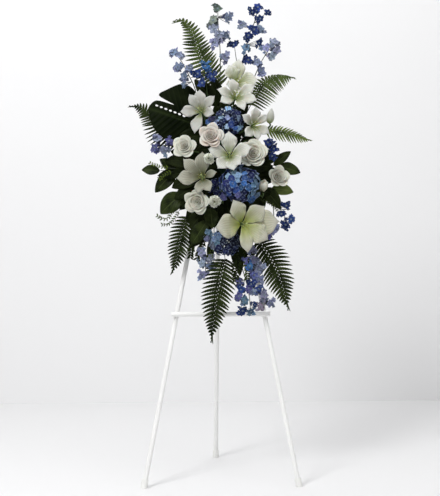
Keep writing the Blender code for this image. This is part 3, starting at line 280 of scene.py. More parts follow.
def rod(path, start_radius, end_radius, finish, blank=None, hint=Vector((0.0, -1.0, 0.02))):
    """A round bar wrapped along a path, its radius changing evenly from end to end."""
    blank = blank or STEM_BLANK
    spots = spots_of(blank.data)
    rings = len(set(np.round(spots[:, 2], 4))) - 1
    line = evenly(path, rings)
    centres, sides, others = [], [], []
    for k, point in enumerate(line):
        axis = (line[min(k + 1, rings)] - line[max(k - 1, 0)]).normalized()
        side = across(axis, hint)
        centres.append(point)
        sides.append(side)
        others.append(axis.cross(side))
    row = np.rint(spots[:, 2] * rings).astype(int)
    wide = start_radius + (end_radius - start_radius) * spots[:, 2]
    centres, sides, others = (np.array(rows) for rows in (centres, sides, others))
    shape = (centres[row] + sides[row] * (spots[:, 0] * wide)[:, None]
             + others[row] * (spots[:, 1] * wide)[:, None])
    return put(copy_of(blank, finish), shape)


def facing_frame(place, yaw, pitch):
    """A frame at place whose Z faces the viewer, turned to the right by yaw and up by pitch, in degrees."""
    turn = Euler((radians(90.0 - pitch), 0.0, radians(yaw)), "XYZ").to_matrix().to_4x4()
    return Matrix.Translation(place) @ turn


def bloom_stem(place, socket, neck, radius, start=0.0):
    """A green stem from the foam to the back of a bloom, in the bloom's frame."""
    knee = place @ up(-neck)
    spot = foam_spot(*socket)
    into_bloom = place.inverted()
    line = [into_bloom @ point for point in (rooted(spot, knee), spot, knee)] + [up(start)]
    return rod(smooth_path(line, 6), radius, radius, STEM_GREEN)


def bloom_frame(bloom):
    return facing_frame(Vector(bloom.place), bloom.yaw, bloom.pitch)


# Finishes

class Finish:
    """A material while its nodes are put together."""

    def __init__(self, name):
        self.material = bpy.data.materials.new(name)
        self.material.use_nodes = True
        self.tree = self.material.node_tree
        self.shader = self.tree.nodes["Principled BSDF"]

    def add(self, kind):
        return self.tree.nodes.new("ShaderNode" + kind)

    def feed(self, socket, value):
        """Links a socket to another one, or sets it to a number or a colour."""
        if isinstance(value, bpy.types.NodeSocket):
            self.tree.links.new(value, socket)
        elif isinstance(value, float):
            socket.default_value = value
        else:
            socket.default_value = (*value, 1.0)

    def noise(self, place, scale, detail=3.0):
        node = self.add("TexNoise")
        node.inputs["Scale"].default_value = scale
        node.inputs["Detail"].default_value = detail
        self.feed(node.inputs["Vector"], place)
        return node.outputs["Fac"]

    def ramp(self, value, *stops):
        """A colour ramp on a value, from (position, colour or grey) stops."""
        node = self.add("ValToRGB")
        self.feed(node.inputs["Fac"], value)
        elements = node.color_ramp.elements
        while len(elements) < len(stops):
            elements.new(0.5)
        for element, (position, colour) in zip(elements, stops):
            element.position = position
            element.color = (colour, colour, colour, 1.0) if isinstance(colour, float) else (*colour, 1.0)
        return node.outputs["Color"]

    def mix(self, share, first, second, blend="MIX"):
        node = self.add("Mix")
        node.data_type = "RGBA"
        node.blend_type = blend
        for index, value in ((0, share), (6, first), (7, second)):
            self.feed(node.inputs[index], value)
        return node.outputs[2]

    def maths(self, operation, first, second=0.0):
        node = self.add("Math")
        node.operation = operation
        for socket, value in zip(node.inputs, (first, second)):
            self.feed(socket, value)
        return node.outputs[0]

    def blade(self):
        """Across 0 to 1 and along 0 to 1 on a blade, and the object's own coordinates."""
        place = self.add("TexCoord")
        parts = self.add("SeparateXYZ")
        self.feed(parts.inputs[0], place.outputs["UV"])
        return parts.outputs["X"], parts.outputs["Y"], place.outputs["Object"]

    def from_middle(self, over):
        return self.maths("ABSOLUTE", self.maths("SUBTRACT", over, 0.5))

    def veins(self, over, along, lines, wander):
        """Fine lines that run the length of a petal and spread from its middle."""
        line = self.maths("ADD", over, self.maths("MULTIPLY", wander, 0.05))
        wave = self.maths("SINE", self.maths("MULTIPLY", line, lines))
        return self.maths("MULTIPLY", wave, along)

    def surface(self, colour, roughness, gloss):
        inputs = self.shader.inputs
        self.feed(inputs["Base Color"], colour)
        self.feed(inputs["Roughness"], roughness)
        self.feed(inputs["Specular IOR Level"], gloss)

    def bumped(self, height, strength, distance):
        """Raises the surface by height and gives the finished material."""
        node = self.add("Bump")
        node.inputs["Strength"].default_value = strength
        node.inputs["Distance"].default_value = distance
        self.feed(node.inputs["Height"], height)
        self.feed(self.shader.inputs["Normal"], node.outputs["Normal"])
        return self.material


def petal_finish(name, root, body, rim, root_reach, rim_from, edge_light, lines=54.0, vein_shade=0.88,
                 glow=0.05, roughness=0.45, ridges=0.5, blush=None):
    """A soft petal: its colour runs from root to rim, with fine veins along it and faint mottling."""
    made = Finish(name)
    over, along, spot = made.blade()
    mottle = made.noise(spot, 45.0)
    shifted = made.maths("ADD", along, made.maths("MULTIPLY", mottle, 0.16))
    # The colour brightens from root to rim: the dim root and body are partly the flower's own throat colour
    # and partly painted shade deep in the bloom
    colour = made.ramp(shifted, (0.08, root), (root_reach, body), (rim_from, body), (1.0, rim))
    at_edge = made.ramp(made.from_middle(over), (0.36, 0.0), (0.49, edge_light))
    colour = made.mix(at_edge, colour, rim)
    veins = made.veins(over, along, lines, made.noise(spot, 90.0))
    shade = made.ramp(made.maths("MULTIPLY_ADD", veins, 0.5), (0.0, vein_shade), (0.6, 1.0))
    colour = made.mix(1.0, colour, shade, "MULTIPLY")
    if blush:
        colour = made.mix(made.ramp(made.noise(spot, 22.0, 1.0), (0.48, 0.0), (0.72, 0.45)), colour, blush)
    made.surface(colour, roughness, 0.10)
    made.shader.inputs["Subsurface Weight"].default_value = glow
    made.shader.inputs["Subsurface Scale"].default_value = 0.010
    return made.bumped(veins, ridges, 0.0008)


def floret_finish(name, centre_light, rim_light, roughness):
    """A floret's petals in the tone it was painted, paler towards its middle and veined."""
    made = Finish(name)
    over, along, spot = made.blade()
    tone = made.add("Attribute")
    tone.attribute_name = "tone"
    shade = made.ramp(made.noise(spot, 160.0), (0.30, 0.55), (0.70, 1.45))
    colour = made.mix(1.0, tone.outputs["Color"], shade, "MULTIPLY")
    colour = made.mix(made.ramp(along, (0.0, centre_light), (0.30, 0.0)), colour, (0.25, 0.33, 0.45))
    colour = made.mix(made.ramp(along, (0.62, 0.0), (1.0, rim_light)), colour, (0.38, 0.47, 0.60))
    made.surface(colour, roughness, 0.05)
    return made.bumped(made.veins(over, along, 46.0, made.noise(spot, 120.0)), 0.4, 0.0004)


def leaf_finish(name, dark, light, rib, pairs, slant, roughness, patch=30.0, gloss=0.15):
    """A waxy leaf: a pale middle rib, side veins that slant to the tip, and uneven green between them."""
    made = Finish(name)
    over, along, spot = made.blade()
    from_rib = made.from_middle(over)
    slanted = made.maths("SUBTRACT", along, made.maths("MULTIPLY", from_rib, slant))
    vein = made.maths("COSINE", made.maths("MULTIPLY", slanted, 2 * pi * pairs))
    patches = made.noise(spot, patch)
    colour = made.mix(made.ramp(patches, (0.34, 0.0), (0.68, 1.0)), dark, light)
    colour = made.mix(made.ramp(vein, (0.90, 0.0), (1.0, 0.35)), colour, rib)
    colour = made.mix(made.ramp(from_rib, (0.0, 0.8), (0.035, 0.0)), colour, rib)
    rough = made.ramp(patches, (0.3, roughness - 0.08), (0.7, roughness + 0.10))
    made.surface(colour, rough, gloss)
    return made.bumped(vein, 0.35, 0.0008)


def plain_finish(name, colour, spread, scale, roughness, metallic=0.0, bump=0.1, grain=400.0, depth=0.0002,
                 gloss=0.2):
    """An even finish with a slight drift of colour and a fine grain."""
    made = Finish(name)
    place = made.add("TexCoord").outputs["Object"]
    drift = made.noise(place, scale)
    low = tuple(channel * (1.0 - spread) for channel in colour)
    high = tuple(min(1.0, channel * (1.0 + spread)) for channel in colour)
    made.surface(made.ramp(drift, (0.3, low), (0.7, high)), roughness, gloss)
    made.shader.inputs["Metallic"].default_value = metallic
    return made.bumped(made.noise(place, grain, 5.0), bump, depth)


STEM_GREEN = plain_finish("stem_green", (0.060, 0.100, 0.030), 0.35, 60.0, 0.50)
SPRAY_GREEN = plain_finish("spray_green", (0.026, 0.042, 0.016), 0.30, 60.0, 0.55, gloss=0.1)
TWIG_DARK = plain_finish("twig_dark", (0.030, 0.034, 0.030), 0.30, 80.0, 0.55)
ANTHER = plain_finish("anther_pollen", (0.22, 0.20, 0.06), 0.25, 300.0, 0.85, bump=0.5, grain=1500.0)
FILAMENT = plain_finish("filament_pale", (0.34, 0.40, 0.16), 0.15, 200.0, 0.50)
FILLER_BUD = plain_finish("filler_bud", (0.62, 0.65, 0.62), 0.15, 200.0, 0.60)
FLORET_EYE = plain_finish("floret_eye", (0.20, 0.24, 0.26), 0.25, 500.0, 0.60)
FLORET_SHADE = plain_finish("floret_shade", (0.016, 0.022, 0.050), 0.40, 120.0, 0.80)

# Leaves: the dark and the light green, the rib's green, pairs of side veins, their slant, and the roughness
FERN_VEINS = (11.0, 0.5, 0.50, 24.0)
FERN = leaf_finish("fern_leaf", (0.004, 0.008, 0.002), (0.026, 0.038, 0.010), (0.050, 0.066, 0.020),
                   *FERN_VEINS, 0.04)
FERN_OLIVE = leaf_finish("fern_leaf_olive", (0.009, 0.018, 0.004), (0.085, 0.120, 0.032),
                         (0.140, 0.175, 0.060), *FERN_VEINS, 0.05)
FERN_BRIGHT = leaf_finish("fern_leaf_bright", (0.024, 0.044, 0.004), (0.130, 0.180, 0.026),
                          (0.170, 0.215, 0.050), *FERN_VEINS, 0.05)
SALAL = leaf_finish("salal_leaf", (0.005, 0.009, 0.002), (0.028, 0.040, 0.009), (0.056, 0.074, 0.022),
                    7.0, 1.1, 0.40, gloss=0.07)
SALAL_DARK = leaf_finish("salal_leaf_shade", (0.002, 0.004, 0.001), (0.013, 0.018, 0.005),
                         (0.026, 0.034, 0.011), 7.0, 1.1, 0.50, gloss=0.03)
SALAL_BRIGHT = leaf_finish("salal_leaf_bright", (0.030, 0.050, 0.010), (0.100, 0.135, 0.030),
                           (0.150, 0.180, 0.060), 7.0, 1.1, 0.36, gloss=0.12)
MONSTERA = leaf_finish("monstera_leaf", (0.002, 0.004, 0.001), (0.007, 0.011, 0.003), (0.016, 0.024, 0.007),
                       9.0, 0.9, 0.50, 12.0, 0.03)

# Petals: the colours of root, body and rim, where the root's ends and the rim's begins, and the edges' light
LILY_PETAL = petal_finish("lily_petal", (0.17, 0.23, 0.035), (0.42, 0.42, 0.36), (0.66, 0.66, 0.63),
                          0.48, 0.55, 0.7, vein_shade=0.76)
LILY_CREAM = petal_finish("lily_petal_cream", (0.29, 0.34, 0.045), (0.39, 0.39, 0.28), (0.54, 0.53, 0.46),
                          0.62, 0.66, 0.4, lines=60.0, vein_shade=0.80)
LILY_GREEN = petal_finish("lily_petal_green", (0.17, 0.22, 0.030), (0.43, 0.44, 0.34), (0.67, 0.67, 0.62),
                          0.62, 0.66, 0.7, vein_shade=0.74)
LILY_SOFT = petal_finish("lily_petal_soft", (0.15, 0.19, 0.040), (0.36, 0.36, 0.32), (0.48, 0.48, 0.46),
                         0.42, 0.55, 0.6, vein_shade=0.78)
LILY_SHADED = petal_finish("lily_petal_shaded", (0.08, 0.10, 0.020), (0.22, 0.22, 0.165), (0.44, 0.44, 0.37),
                           0.45, 0.50, 0.7, vein_shade=0.55, glow=0.03)
# The roses' dark olive root and dim body are painted shade in the folds between the petals, under their pale
# cream rims
ROSE_SHARES = (0.35, 0.45, 0.2, 50.0, 0.95, 0.12, 0.55, 0.10)
ROSE_PETAL = petal_finish("rose_petal", (0.16, 0.15, 0.07), (0.35, 0.335, 0.24), (0.63, 0.62, 0.54),
                          *ROSE_SHARES)
ROSE_BLUSH = petal_finish("rose_petal_blush", (0.20, 0.16, 0.09), (0.385, 0.31, 0.24), (0.63, 0.59, 0.54),
                          *ROSE_SHARES, (0.74, 0.54, 0.44))
# The carnations' green root and dim green-grey body are painted shade in the ruffles, over the flower's own
# greenish heart; the rims are the white of the petals
CARNATION_PETAL = petal_finish("carnation_petal", (0.12, 0.16, 0.04), (0.34, 0.38, 0.22), (0.86, 0.87, 0.76),
                               0.40, 0.62, 0.3, lines=40.0, roughness=0.60)
HYDRANGEA_FLORET = floret_finish("hydrangea_floret", 0.25, 0.50, 0.55)
DELPHINIUM_FLORET = floret_finish("delphinium_floret", 0.45, 0.15, 0.50)

STEM_BLANK = rod_blank(8, 14)
THIN_BLANK = rod_blank(6, 8)
# The thickness of leaves, and that of leaflets and frilled petals
LEAF_THICKNESS = 0.0006
FINE_THICKNESS = 0.0004
IN_PLACE = Matrix.Identity(4)


# Lilies: every petal's turn and reach, and for some petals how far they roll out and how wide they are

Lily = namedtuple("Lily", "place yaw pitch petals socket depth")

LILIES = {
    "lily_top": Lily((0.050, -0.125, 1.352), 8, 16, ((112, 0.066, 0.0, 1.45), (82, 0.084, 0.0, 1.30),
                     (10, 0.074, 0.0, 1.50), (330, 0.042, 0.0, 1.3), (262, 0.040, 0.0, 1.3),
                     (196, 0.040, 0.0, 1.3)), (0.030, 0.115, -0.40), 0.026),
    "lily_upper_left": Lily((-0.066, -0.175, 1.256), -18, 12, ((92, 0.070), (42, 0.070), (345, 0.055),
                            (262, 0.082), (185, 0.066), (125, 0.066)), (-0.038, 0.103), 0.032),
    "lily_upper_middle": Lily((0.048, -0.150, 1.303), 8, 22, ((104, 0.062), (30, 0.074), (345, 0.070),
                              (290, 0.062), (205, 0.066), (165, 0.070)), (0.016, 0.115, -0.80), 0.032),
    "lily_upper_right": Lily((0.105, -0.165, 1.211), 22, 5, ((90, 0.062), (40, 0.055), (330, 0.055),
                             (275, 0.052), (222, 0.058), (148, 0.062)), (0.050, 0.096), 0.030),
    "lily_middle": Lily((0.026, -0.205, 1.108), -5, 14, ((92, 0.080, 0.0, 1.20),
                        (20, 0.078, 0.0, 1.35), (318, 0.052, 0.0, 1.50), (285, 0.058, 0.0, 1.50),
                        (232, 0.062, 0.0, 1.35), (165, 0.074, 0.0, 1.35)), (0.012, 0.022), 0.030),
    "lily_middle_left": Lily((-0.062, -0.195, 1.039), -10, 8, ((90, 0.082), (15, 0.052), (300, 0.060),
                             (258, 0.062), (185, 0.086), (138, 0.086)), (-0.030, -0.022), 0.034),
    "lily_lower_right": Lily((0.069, -0.175, 0.884), 12, 0, ((117, 0.090, 0.05, 1.15), (42, 0.090, 0.0, 1.60),
                             (4, 0.120, 0.0, 1.30), (326, 0.096, 0.0, 1.60), (275, 0.098, 0.0, 0.82),
                             (186, 0.104, 0.0, 1.75)), (0.038, -0.094), 0.045),
}
LILY_FINISHES = {"lily_top": LILY_GREEN, "lily_middle_left": LILY_SHADED, "lily_lower_right": LILY_CREAM,
                 "lily_upper_left": LILY_SOFT}
# The flare and width of a petal whose row gives none
PLAIN_PETAL = (0.0, 1.08)
LILY_STEM = 0.0030
LILY_THROAT = 0.0052
LILY_THICKNESS = 0.0007

LILY_BLANK = blade_blank(10, 22)


def lily_petal(turn, reach, depth, half_width, flare, chance):
    """A petal that climbs out of the throat and rolls back at its tip, with a waved edge and a midrib."""
    swing = radians(turn)
    phase = chance.uniform(0.0, 2 * pi)
    waves = chance.uniform(2.4, 3.4)
    twist = chance.uniform(-0.12, 0.12)
    roll_back = chance.uniform(0.03, 0.10)

    def surface(over, along):
        out = reach * along + LILY_THROAT * (1.0 - along)
        height = depth * np.sin(pi * 0.62 * along)
        width = half_width * np.sin(pi * along ** 1.22).clip(0.0) ** (0.92 + 0.7 * along ** 3)
        width = np.where(along > AT_TIP, 0.0, width + 0.0022 * (1.0 - along))
        side = over * width
        lift = np.abs(over) * width * (0.45 - 0.75 * along)
        edge = np.abs(over) ** 3 * np.sin(pi * along)
        ruffle = 0.16 * half_width * edge * np.sin(2 * pi * waves * along + phase + np.sign(over))
        midrib = 0.0034 * np.exp(-(over / 0.13) ** 2) * np.sin(pi * along).clip(0.0) ** 0.5
        folds = 0.0014 * np.cos(3.0 * pi * over) * np.sin(pi * along)
        curl = roll_back * reach * (along - 0.72).clip(0.0) ** 2 * 6.0
        open_out = flare * reach * (along - 0.45).clip(0.0) ** 2 * 2.0
        out = out + open_out
        height = height + lift + ruffle - midrib + folds - curl - 0.9 * open_out + twist * side * along
        return turned(out, side, height, cos(swing), sin(swing))
    return surface


def lily(name, bloom):
    chance = random.Random(name)
    place = bloom_frame(bloom)
    depth = bloom.depth
    petals = []
    for index, (turn, reach, *shape) in enumerate(bloom.petals):
        flare, wide = shape or PLAIN_PETAL
        half_width = reach * (0.27 if index % 2 == 0 else 0.22) * wide
        surface = lily_petal(turn, reach, depth + 0.0008 * (index % 2), half_width, flare, chance)
        petals.append(laid(LILY_BLANK, surface, LILY_FINISHES.get(name, LILY_PETAL)))
    parts = [thickened(name, petals, LILY_THICKNESS)]
    parts.append(bloom_stem(place, bloom.socket, 0.022, LILY_STEM, 0.002))
    parts.append(rod([up(-0.010), up(0.004)], 0.0034, 0.0070, STEM_GREEN))
    for k in range(6):
        angle = radians(60 * k + 30 + chance.uniform(-9.0, 9.0))
        aside = Vector((cos(angle), sin(angle), 0.0))
        tip = aside * chance.uniform(0.008, 0.012) + up(depth * chance.uniform(1.05, 1.2))
        bow = aside * 0.010 + up(depth * 0.5)
        parts.append(rod(smooth_path([aside * 0.002, bow, tip], 5), 0.0008, 0.0006, FILAMENT, THIN_BLANK))
        turn = Matrix.Rotation(angle, 4, "Z") @ Matrix.Rotation(chance.uniform(0.9, 1.5), 4, "Y")
        anther = Matrix.Translation(tip) @ turn @ Matrix.Diagonal((0.0010, 0.0011, 0.0034, 1.0))
        parts.append(placed(BEAD_BLANK, anther, ANTHER))
    style_tip = Vector((0.0, 0.002, depth * 1.30))
    style = smooth_path([up(0.0), Vector((0.001, 0.0, depth * 0.6)), style_tip], 5)
    parts.append(rod(style, 0.0012, 0.0010, FILAMENT, THIN_BLANK))
    parts.append(bead(BEAD_BLANK, (0.0026, 0.0026, 0.0018), FILAMENT, style_tip))
    return finished(name, parts, place, "lily_petal", name)


def lily_bud():
    """A closed bud with six petals folded edge to edge."""
    base, tip = Vector((0.163, -0.128, 1.222)), Vector((0.172, -0.135, 1.272))
    axis = (tip - base).normalized()
    spot = foam_spot(0.067, 0.075, -0.60)
    knee = base - axis * 0.018
    into = Matrix.Translation(-base)
    line = [into @ point for point in (rooted(spot, knee), spot, knee, base + axis * 0.004)]
    parts = [rod(smooth_path(line, 6), LILY_STEM, LILY_STEM, STEM_GREEN)]
    petals = []
    length = (tip - base).length
    for k in range(6):
        reach = 0.0120 if k % 2 == 0 else 0.0112

        def surface(over, along, turn=radians(60.0 * k), reach=reach):
            round_body = reach * np.sin(pi * along ** 0.75).clip(0.0) ** 0.75 + 0.0030 * (1.0 - along)
            swing = turn + over * radians(38.0) * (1.0 - 0.5 * along ** 3)
            seam = 1.0 - 0.10 * np.abs(over) ** 2
            return turned(round_body * seam, 0.0, length * along, np.cos(swing), np.sin(swing))
        petals.append(laid(LILY_BLANK, surface, LILY_PETAL))
    body = thickened("lily_bud", petals, LILY_THICKNESS)
    body.data.transform(up(1.0).rotation_difference(axis).to_matrix().to_4x4())
    return finished("lily_bud", [body] + parts, Matrix.Translation(base), "lily_petal", "lily_bud")


# Roses and carnations: middle of the face, facing, radius and the hole in the foam

Bloom = namedtuple("Bloom", "place yaw pitch radius socket")

ROSES = {
    "rose_upper": Bloom((-0.037, -0.205, 1.171), 4, 12, 0.032, (-0.014, 0.078)),
    "rose_left": Bloom((-0.119, -0.160, 1.137), -14, 14, 0.031, (-0.052, 0.036)),
    "rose_lower_left": Bloom((-0.080, -0.190, 0.960), -12, -4, 0.033, (-0.046, -0.082)),
    "rose_right": Bloom((0.103, -0.180, 1.116), 2, 10, 0.039, (0.048, 0.034)),
    "rose_far_right": Bloom((0.192, -0.120, 1.038), 16, 16, 0.029, (0.067, -0.020, -0.55)),
    "rose_bud": Bloom((0.138, -0.165, 0.993), 14, 64, 0.021, (0.055, -0.016)),
}

# Petals of a whorl, its shell over the bloom's radius, the angle it opens to, its lift, its flare, how much
# of its share of the round each petal covers, and the roll of its rim
Whorl = namedtuple("Whorl", "count shell open_to lift flare cover roll")

OPEN_WHORLS = (
    Whorl(2, 0.11, 125.0, 0.72, 0.00, 1.60, 0.02), Whorl(3, 0.20, 117.0, 0.63, 0.00, 1.45, 0.04),
    Whorl(3, 0.31, 112.0, 0.50, 0.00, 1.36, 0.06), Whorl(3, 0.44, 108.0, 0.35, 0.03, 1.30, 0.09),
    Whorl(4, 0.58, 102.0, 0.20, 0.08, 1.24, 0.12), Whorl(4, 0.72, 95.0, 0.05, 0.24, 1.18, 0.15),
    Whorl(5, 0.84, 88.0, -0.06, 0.46, 1.14, 0.17))
BUD_WHORLS = (
    Whorl(3, 0.42, 142.0, 0.34, 0.00, 1.40, 0.00), Whorl(3, 0.58, 134.0, 0.16, 0.00, 1.30, 0.03),
    Whorl(4, 0.72, 126.0, 0.02, 0.00, 1.15, 0.06))
ROSE_STEM = 0.0025
ROSE_THICKNESS = 0.0005
ROSE_ROOT_TURN = 14.0
# How tall the bud is for its width
BUD_HEIGHT = 1.45

ROUND_BLANK = blade_blank(10, 12, pointed_base=True, pointed_tip=False)


def rose_petal(radius, whorl, turn, heart, chance):
    """A cupped petal whose one edge lies under the next petal, with rounded corners and a rolled rim."""
    shell = radius * whorl.shell * chance.uniform(0.97, 1.03)
    span = radians(360.0 / whorl.count * whorl.cover)
    open_to = whorl.open_to + chance.uniform(-7.0, 5.0)
    phase = chance.uniform(0.0, 2 * pi)
    point = chance.uniform(0.05, 0.20) * whorl.shell
    lean = chance.uniform(-0.10, 0.10)
    aside = heart * (1.0 - whorl.shell)

    def surface(over, along):
        corner = along * (1.0 - 0.13 * np.abs(over) ** 3 + point * (1.0 - np.abs(over)))
        polar = np.radians(ROSE_ROOT_TURN + (open_to - ROSE_ROOT_TURN) * corner)
        opening = 0.55 + 0.45 * np.sin(pi * corner.clip(0.0, 1.0) ** 1.3 / 2)
        swing = radians(turn) + over * span / 2 * opening
        reach = shell * (1.0 + 0.08 * over + whorl.flare * (corner - 0.5).clip(0.0) ** 1.3)
        rim = ((corner - 0.74) / 0.26).clip(0.0) ** 1.6
        wave = 0.035 * radius * np.sin(3.4 * over + phase) * corner ** 3
        out = reach * np.sin(polar) + whorl.roll * radius * rim + wave * 0.5
        height = shell - reach * np.cos(polar) - whorl.roll * radius * 0.65 * rim + wave
        height = height + radius * whorl.lift + lean * over * out
        return np.stack((aside[0] + out * np.cos(swing), aside[1] + out * np.sin(swing), height), 1)
    return surface


def sepals(radius, count, length):
    """Narrow green leaves under a bloom, bent back from it."""
    parts = []
    for k in range(count):
        def surface(over, along, turn=2 * pi * k / count + 0.3):
            width = 0.0034 * np.sin(pi * along ** 0.6).clip(0.0) ** 0.8
            out = radius * 0.10 + length * along
            height = -0.002 + 0.35 * length * along - 0.7 * length * along ** 2
            return turned(out, over * width, height, cos(turn), sin(turn))
        parts.append(laid(LEAFLET_BLANK, surface, SALAL))
    return thickened("sepals", parts, LEAF_THICKNESS)


def rose(name, bloom, whorls, height):
    chance = random.Random(name)
    place = bloom_frame(bloom)
    radius = bloom.radius
    finish = ROSE_BLUSH if name == "rose_upper" else ROSE_PETAL
    off = chance.uniform(0.0, 2 * pi)
    heart = radius * 0.13 * np.array((cos(off), sin(off)))
    petals = []
    for row, whorl in enumerate(whorls):
        for k in range(whorl.count):
            turn = 360.0 * k / whorl.count + 37.0 * row + chance.uniform(-7.0, 7.0)
            petals.append(laid(ROUND_BLANK, rose_petal(radius, whorl, turn, heart, chance), finish))
    parts = [thickened(name, petals, ROSE_THICKNESS)]
    parts[0].data.transform(Matrix.Scale(height, 4, up(1.0)))
    parts.append(bloom_stem(place, bloom.socket, 0.020, ROSE_STEM))
    hip = [up(radius * level) for level in (-0.22, 0.10)]
    parts.append(rod(hip, radius * 0.10, radius * 0.26, STEM_GREEN))
    parts.append(sepals(radius, 5, radius * 0.55))
    return finished(name, parts, place, "rose_petal", name)


CARNATIONS = {
    "carnation_middle": Bloom((-0.043, -0.232, 1.099), -8, 5, 0.019, (-0.020, 0.010)),
    "carnation_lower": Bloom((-0.024, -0.215, 0.961), -4, -8, 0.022, (-0.012, -0.078)),
}
CARNATION_STEM = 0.0018
# Petals of a row, their reach over the bloom's radius, their base and their rise
CARNATION_ROWS = ((8, 1.00, 0.04, 0.34), (7, 0.84, 0.10, 0.50), (7, 0.66, 0.18, 0.62), (5, 0.46, 0.22, 0.74),
                  (4, 0.28, 0.26, 0.78))


def carnation_petal(radius, reach, base, rise, turn, chance):
    """A fan whose rim is folded into frills and cut into teeth."""
    phase = chance.uniform(0.0, 2 * pi)

    def surface(over, along):
        swing = radians(turn) + over * radians(34.0) * along ** 0.4
        tooth = 1.0 - 0.11 * (np.rint((over + 1.0) * 5.0) % 2) * along ** 4
        out = radius * reach * along * tooth * (1.0 - 0.10 * over ** 2)
        frill = 0.26 * radius * np.sin(7.0 * over + phase) * along ** 2
        height = radius * (base + rise * along ** 0.8) + frill
        side = 0.12 * radius * np.cos(7.0 * over + phase) * along ** 2
        return turned(out, side, height, np.cos(swing), np.sin(swing))
    return surface


def carnation(name, bloom):
    chance = random.Random(name)
    place = bloom_frame(bloom)
    radius = bloom.radius
    petals = []
    for row, (count, reach, base, rise) in enumerate(CARNATION_ROWS):
        for k in range(count):
            turn = 360.0 * k / count + 23.0 * row + chance.uniform(-9.0, 9.0)
            surface = carnation_petal(radius, reach * chance.uniform(0.84, 1.12), base, rise, turn, chance)
            petals.append(laid(ROUND_BLANK, surface, CARNATION_PETAL))
    parts = [thickened(name, petals, FINE_THICKNESS)]
    parts.append(bloom_stem(place, bloom.socket, 0.018, CARNATION_STEM, 0.001))
    cup = [up(radius * level) for level in (-0.34, 0.24)]
    parts.append(rod(cup, radius * 0.16, radius * 0.30, STEM_GREEN))
    return finished(name, parts, place, "carnation_petal", name)


# Hydrangea heads: middle, facing, half sizes, florets, hole in the foam, and tones by place on the head

Head = namedtuple("Head", "place yaw pitch half florets socket paler tones strays buds", defaults=((), ()))

NAVY = (0.009, 0.012, 0.062)
# Navy darkened nearly to black: painted shade, for the florets of the lower head that lie under the lily's
# petals
NAVY_IN_SHADE = (0.004, 0.005, 0.020)
DEEP_BLUE = (0.014, 0.028, 0.115)
ROYAL = (0.026, 0.050, 0.190)
BRIGHT_ROYAL = (0.035, 0.110, 0.300)
LAVENDER = (0.170, 0.196, 0.300)
PALE_LAVENDER = (0.225, 0.252, 0.335)
VIOLET = (0.090, 0.092, 0.240)
TEAL_GREY = (0.090, 0.150, 0.230)
STEEL_BLUE = (0.055, 0.130, 0.340)
PALE_BLUE = (0.240, 0.340, 0.500)
GREY_GREEN = (0.130, 0.155, 0.140)
MAUVE = (0.240, 0.205, 0.255)

HYDRANGEAS = {
    "hydrangea_upper": Head((0.026, -0.180, 1.224), 4, 8, (0.050, 0.046, 0.036), 52, (0.016, 0.076), 0.93, (
        (-0.7, -0.2, PALE_BLUE), (-0.3, -0.7, PALE_BLUE), (0.1, -0.2, ROYAL), (0.6, -0.5, NAVY),
        (0.4, 0.4, NAVY), (-0.2, 0.6, NAVY), (0.2, -0.8, STEEL_BLUE)), (
        (-0.030, -0.176, 1.235, VIOLET), (-0.042, -0.174, 1.222, STEEL_BLUE), (-0.034, -0.178, 1.206, VIOLET),
        (-0.020, -0.182, 1.218, LAVENDER)), (
        (0.000, -0.212, 1.263), (0.009, -0.214, 1.258), (0.018, -0.212, 1.271), (0.034, -0.212, 1.275),
        (0.004, -0.214, 1.247))),
    "hydrangea_middle": Head((0.058, -0.200, 1.020), 8, 0, (0.068, 0.056, 0.040), 66, (0.030, -0.022), 0.90, (
        (-0.6, 0.3, ROYAL), (-0.6, -0.5, ROYAL), (-0.2, 0.0, BRIGHT_ROYAL), (0.0, -0.7, VIOLET),
        (0.3, 0.3, STEEL_BLUE), (0.6, 0.6, PALE_BLUE), (0.7, -0.2, TEAL_GREY), (0.4, -0.1, PALE_BLUE),
        (0.3, -0.4, STEEL_BLUE),
        (0.6, -0.7, TEAL_GREY), (0.1, 0.8, TEAL_GREY)), (
        (-0.020, -0.172, 1.022, NAVY), (-0.026, -0.168, 1.002, NAVY), (-0.012, -0.176, 0.986, NAVY),
        (-0.034, -0.164, 0.986, NAVY), (0.004, -0.180, 0.975, VIOLET), (0.118, -0.178, 0.985, TEAL_GREY),
        (0.098, -0.182, 0.966, STEEL_BLUE))),
    "hydrangea_lower": Head((0.013, -0.155, 0.822), 0, -25, (0.052, 0.046, 0.038), 54, (0.004, -0.106), 1.0, (
        (-0.9, 0.4, TEAL_GREY), (-0.9, -0.1, LAVENDER), (-0.8, -0.7, LAVENDER), (-0.4, -0.3, NAVY),
        # the upper and right florets in near-black navy are painted shade under the lily's petals
        (0.0, 0.4, NAVY_IN_SHADE), (0.2, -0.1, NAVY), (0.1, -0.7, ROYAL), (0.5, 0.2, NAVY_IN_SHADE),
        (0.6, -0.3, NAVY_IN_SHADE),
        (0.4, -0.7, DEEP_BLUE)), (
        (-0.040, -0.166, 0.850, TEAL_GREY), (-0.046, -0.160, 0.832, LAVENDER)), (
        (-0.029, -0.196, 0.858), (-0.028, -0.196, 0.846), (0.018, -0.196, 0.853), (0.019, -0.196, 0.829),
        (0.009, -0.196, 0.810), (0.024, -0.196, 0.824))),
}
HYDRANGEA_STEM = 0.0035
FLORET_THICKNESS = 0.05
STALK_TONE = (0.05, 0.08, 0.03)
LOWEST_FLORET = -0.35
# The golden angle as a share of half a turn
GOLDEN_SHARE = 3.0 - sqrt(5.0)
# The share of a head's florets that are navy whatever their place
NAVY_SHARE = 0.16


def tinted(colour, chance, spread):
    """The colour with a little chance in its lightness and hue."""
    light = 1.0 + chance.uniform(-spread, spread)
    return tuple(max(0.004, channel * light * (1.0 + chance.uniform(-0.10, 0.10))) for channel in colour)


